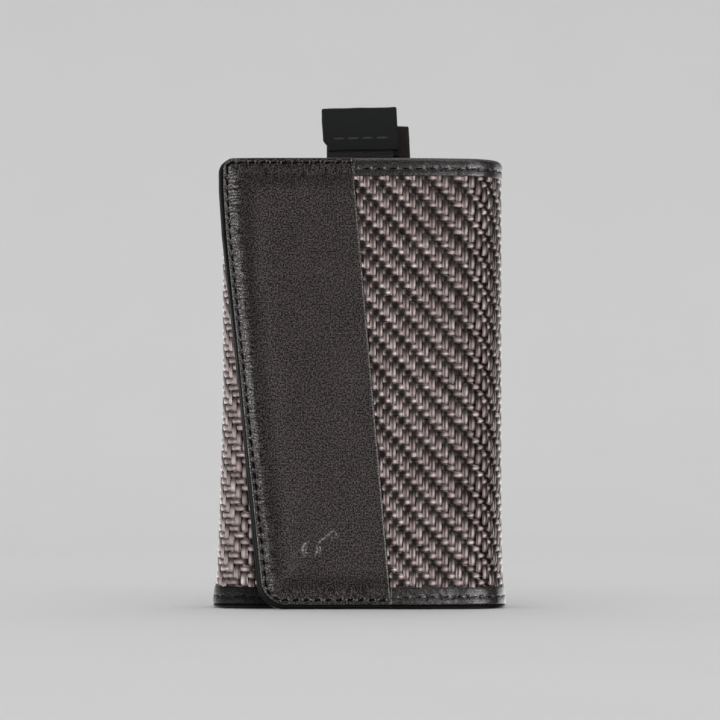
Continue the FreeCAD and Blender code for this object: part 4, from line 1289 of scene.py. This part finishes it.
def world():
    """Even light for matt surfaces, and a separate sky of bands that only glossy ones mirror."""
    scene = bpy.context.scene
    scene.view_settings.view_transform = "Standard"
    sky = bpy.data.worlds.new("studio")
    scene.world = sky
    sky.use_nodes = True
    sky.cycles.sampling_method = "NONE"
    tree = sky.node_tree
    tree.nodes.clear()

    def add(kind, inputs=None, **settings):
        node = tree.nodes.new(kind)
        for key, setting in settings.items():
            setattr(node, key, setting)
        for key, value in (inputs or {}).items():
            if isinstance(value, bpy.types.NodeSocket):
                tree.links.new(value, node.inputs[key])
            else:
                node.inputs[key].default_value = value
        return node

    def ramp(value, stops):
        node = add("ShaderNodeValToRGB", {"Fac": value})
        elements = node.color_ramp.elements
        while len(elements) < len(stops):
            elements.new(0.5)
        for element, (position, level) in zip(elements, stops):
            element.position = position
            element.color = (level,) * 3 + (1,)
        return node.outputs["Color"]

    direction = add("ShaderNodeTexCoord").outputs["Generated"]
    parts = add("ShaderNodeSeparateXYZ", {"Vector": direction}).outputs
    toward = add("ShaderNodeMath", {0: parts["Y"], 1: -1.0}, operation="MULTIPLY").outputs[0]
    azimuth = add("ShaderNodeMath", {0: parts["X"], 1: toward}, operation="ARCTAN2").outputs[0]
    share = add(
        "ShaderNodeMapRange", {"Value": azimuth, "From Min": -math.pi, "From Max": math.pi}
    ).outputs[0]
    bands = [
        (-180, 1.2), (-100, 2.0), (-66, 1.8), (-54, 3.2), (-38, 3.2), (-27, 0.8), (-15, 0.1), (-7, 0.03),
        (8, 0.03), (13, 0.4), (19, 1.8), (25, 4.2), (44, 4.2), (50, 0.1), (100, 0.03), (108, 1.8), (180, 1.2),
    ]
    sides = ramp(share, [((angle + 180) / 360, value / 3) for angle, value in bands])
    height = add("ShaderNodeMapRange", {"Value": parts["Z"], "From Min": -1.0, "From Max": 1.0}).outputs[0]
    heights = [(-1, 0.1), (-0.6, 0.3), (-0.35, 1.0), (-0.08, 1.0), (0.06, 0.6), (0.2, 0.28), (0.5, 0.06),
               (0.75, 0.25), (1, 0.5)]
    level = ramp(height, [((rise + 1) / 2, value) for rise, value in heights])
    mirrored = add("ShaderNodeMix", {"Factor": 1.0}, data_type="RGBA", blend_type="MULTIPLY")
    tree.links.new(sides, mirrored.inputs[MIX_FIRST_COLOUR])
    tree.links.new(level, mirrored.inputs[MIX_SECOND_COLOUR])
    even = add("ShaderNodeBackground", {"Color": (1, 1, 1, 1), "Strength": 0.81})
    shaped = add("ShaderNodeBackground", {"Color": mirrored.outputs[MIX_COLOUR_OUT], "Strength": 6.0})
    glossy = add("ShaderNodeLightPath").outputs["Is Glossy Ray"]
    mix = add("ShaderNodeMixShader", {0: glossy, 1: even.outputs[0], 2: shaped.outputs[0]})
    add("ShaderNodeOutputWorld", {"Surface": mix.outputs[0]})


# ---------------------------------------------------------------------------------------------
# The whole object
# ---------------------------------------------------------------------------------------------

def finish_cad_nodes():
    """Materials for the CAD pieces that are shown as they are."""
    finishes = {
        "back_stiffener": STIFFENER, "wing_stiffener": STIFFENER, "side_padding": FOAM,
        "flap_magnets": NICKEL, "wing_magnets": NICKEL, "pocket_front_wall": POCKET_LEATHER,
        "pocket_divider": POCKET_LEATHER, "front_pocket_seam": POCKET_LEATHER,
        "rear_pocket_seam": POCKET_LEATHER, "key_bar": BAR_STEEL, "key_bar_rivets": NICKEL,
    }
    for name, node in frame["nodes"].items():
        if name.startswith(("key_hook", "hook_gate")):
            finishes[name] = HOOK_STEEL
        if name in finishes:
            node.data.materials.clear()
            node.data.materials.append(finishes[name])


camera()
stage()
world()
finish_cad_nodes()
WEAVE_NODES = {
    "front": ("flap_woven_cover",),
    "back": ("side_woven_cover", "back_woven_cover"),
    "wing": ("wing_woven_cover",),
}
BAND_NODES = {
    "front": (("flap_top_binding",), ("flap_bottom_binding",)),
    "back": (("side_top_binding", "back_top_binding"), ("side_bottom_binding", "back_bottom_binding")),
    "wing": (("wing_top_binding",), ("wing_bottom_binding",)),
}
for region, fold, start, end in REGIONS:
    weave(region, start, end, WEAVE_NODES[region])
    band_end = end if region != "wing" else WING_S - WING_BINDING
    bindings(region, start, band_end, BAND_NODES[region])
leather_panel()
flap_rim()
flap_stitches()
linings()
flap_foam()
wing_edge()
for name in ("front", "rear"):
    ribbon(name)
tab("front", "front_pull", FRONT_TAB_LEATHER, GREY_THREAD, (3.0, 1.4), 4, 1)
tab("rear", "rear_pull", REAR_TAB_LEATHER, DARK_THREAD, (3.0, -0.6), 4, 2)
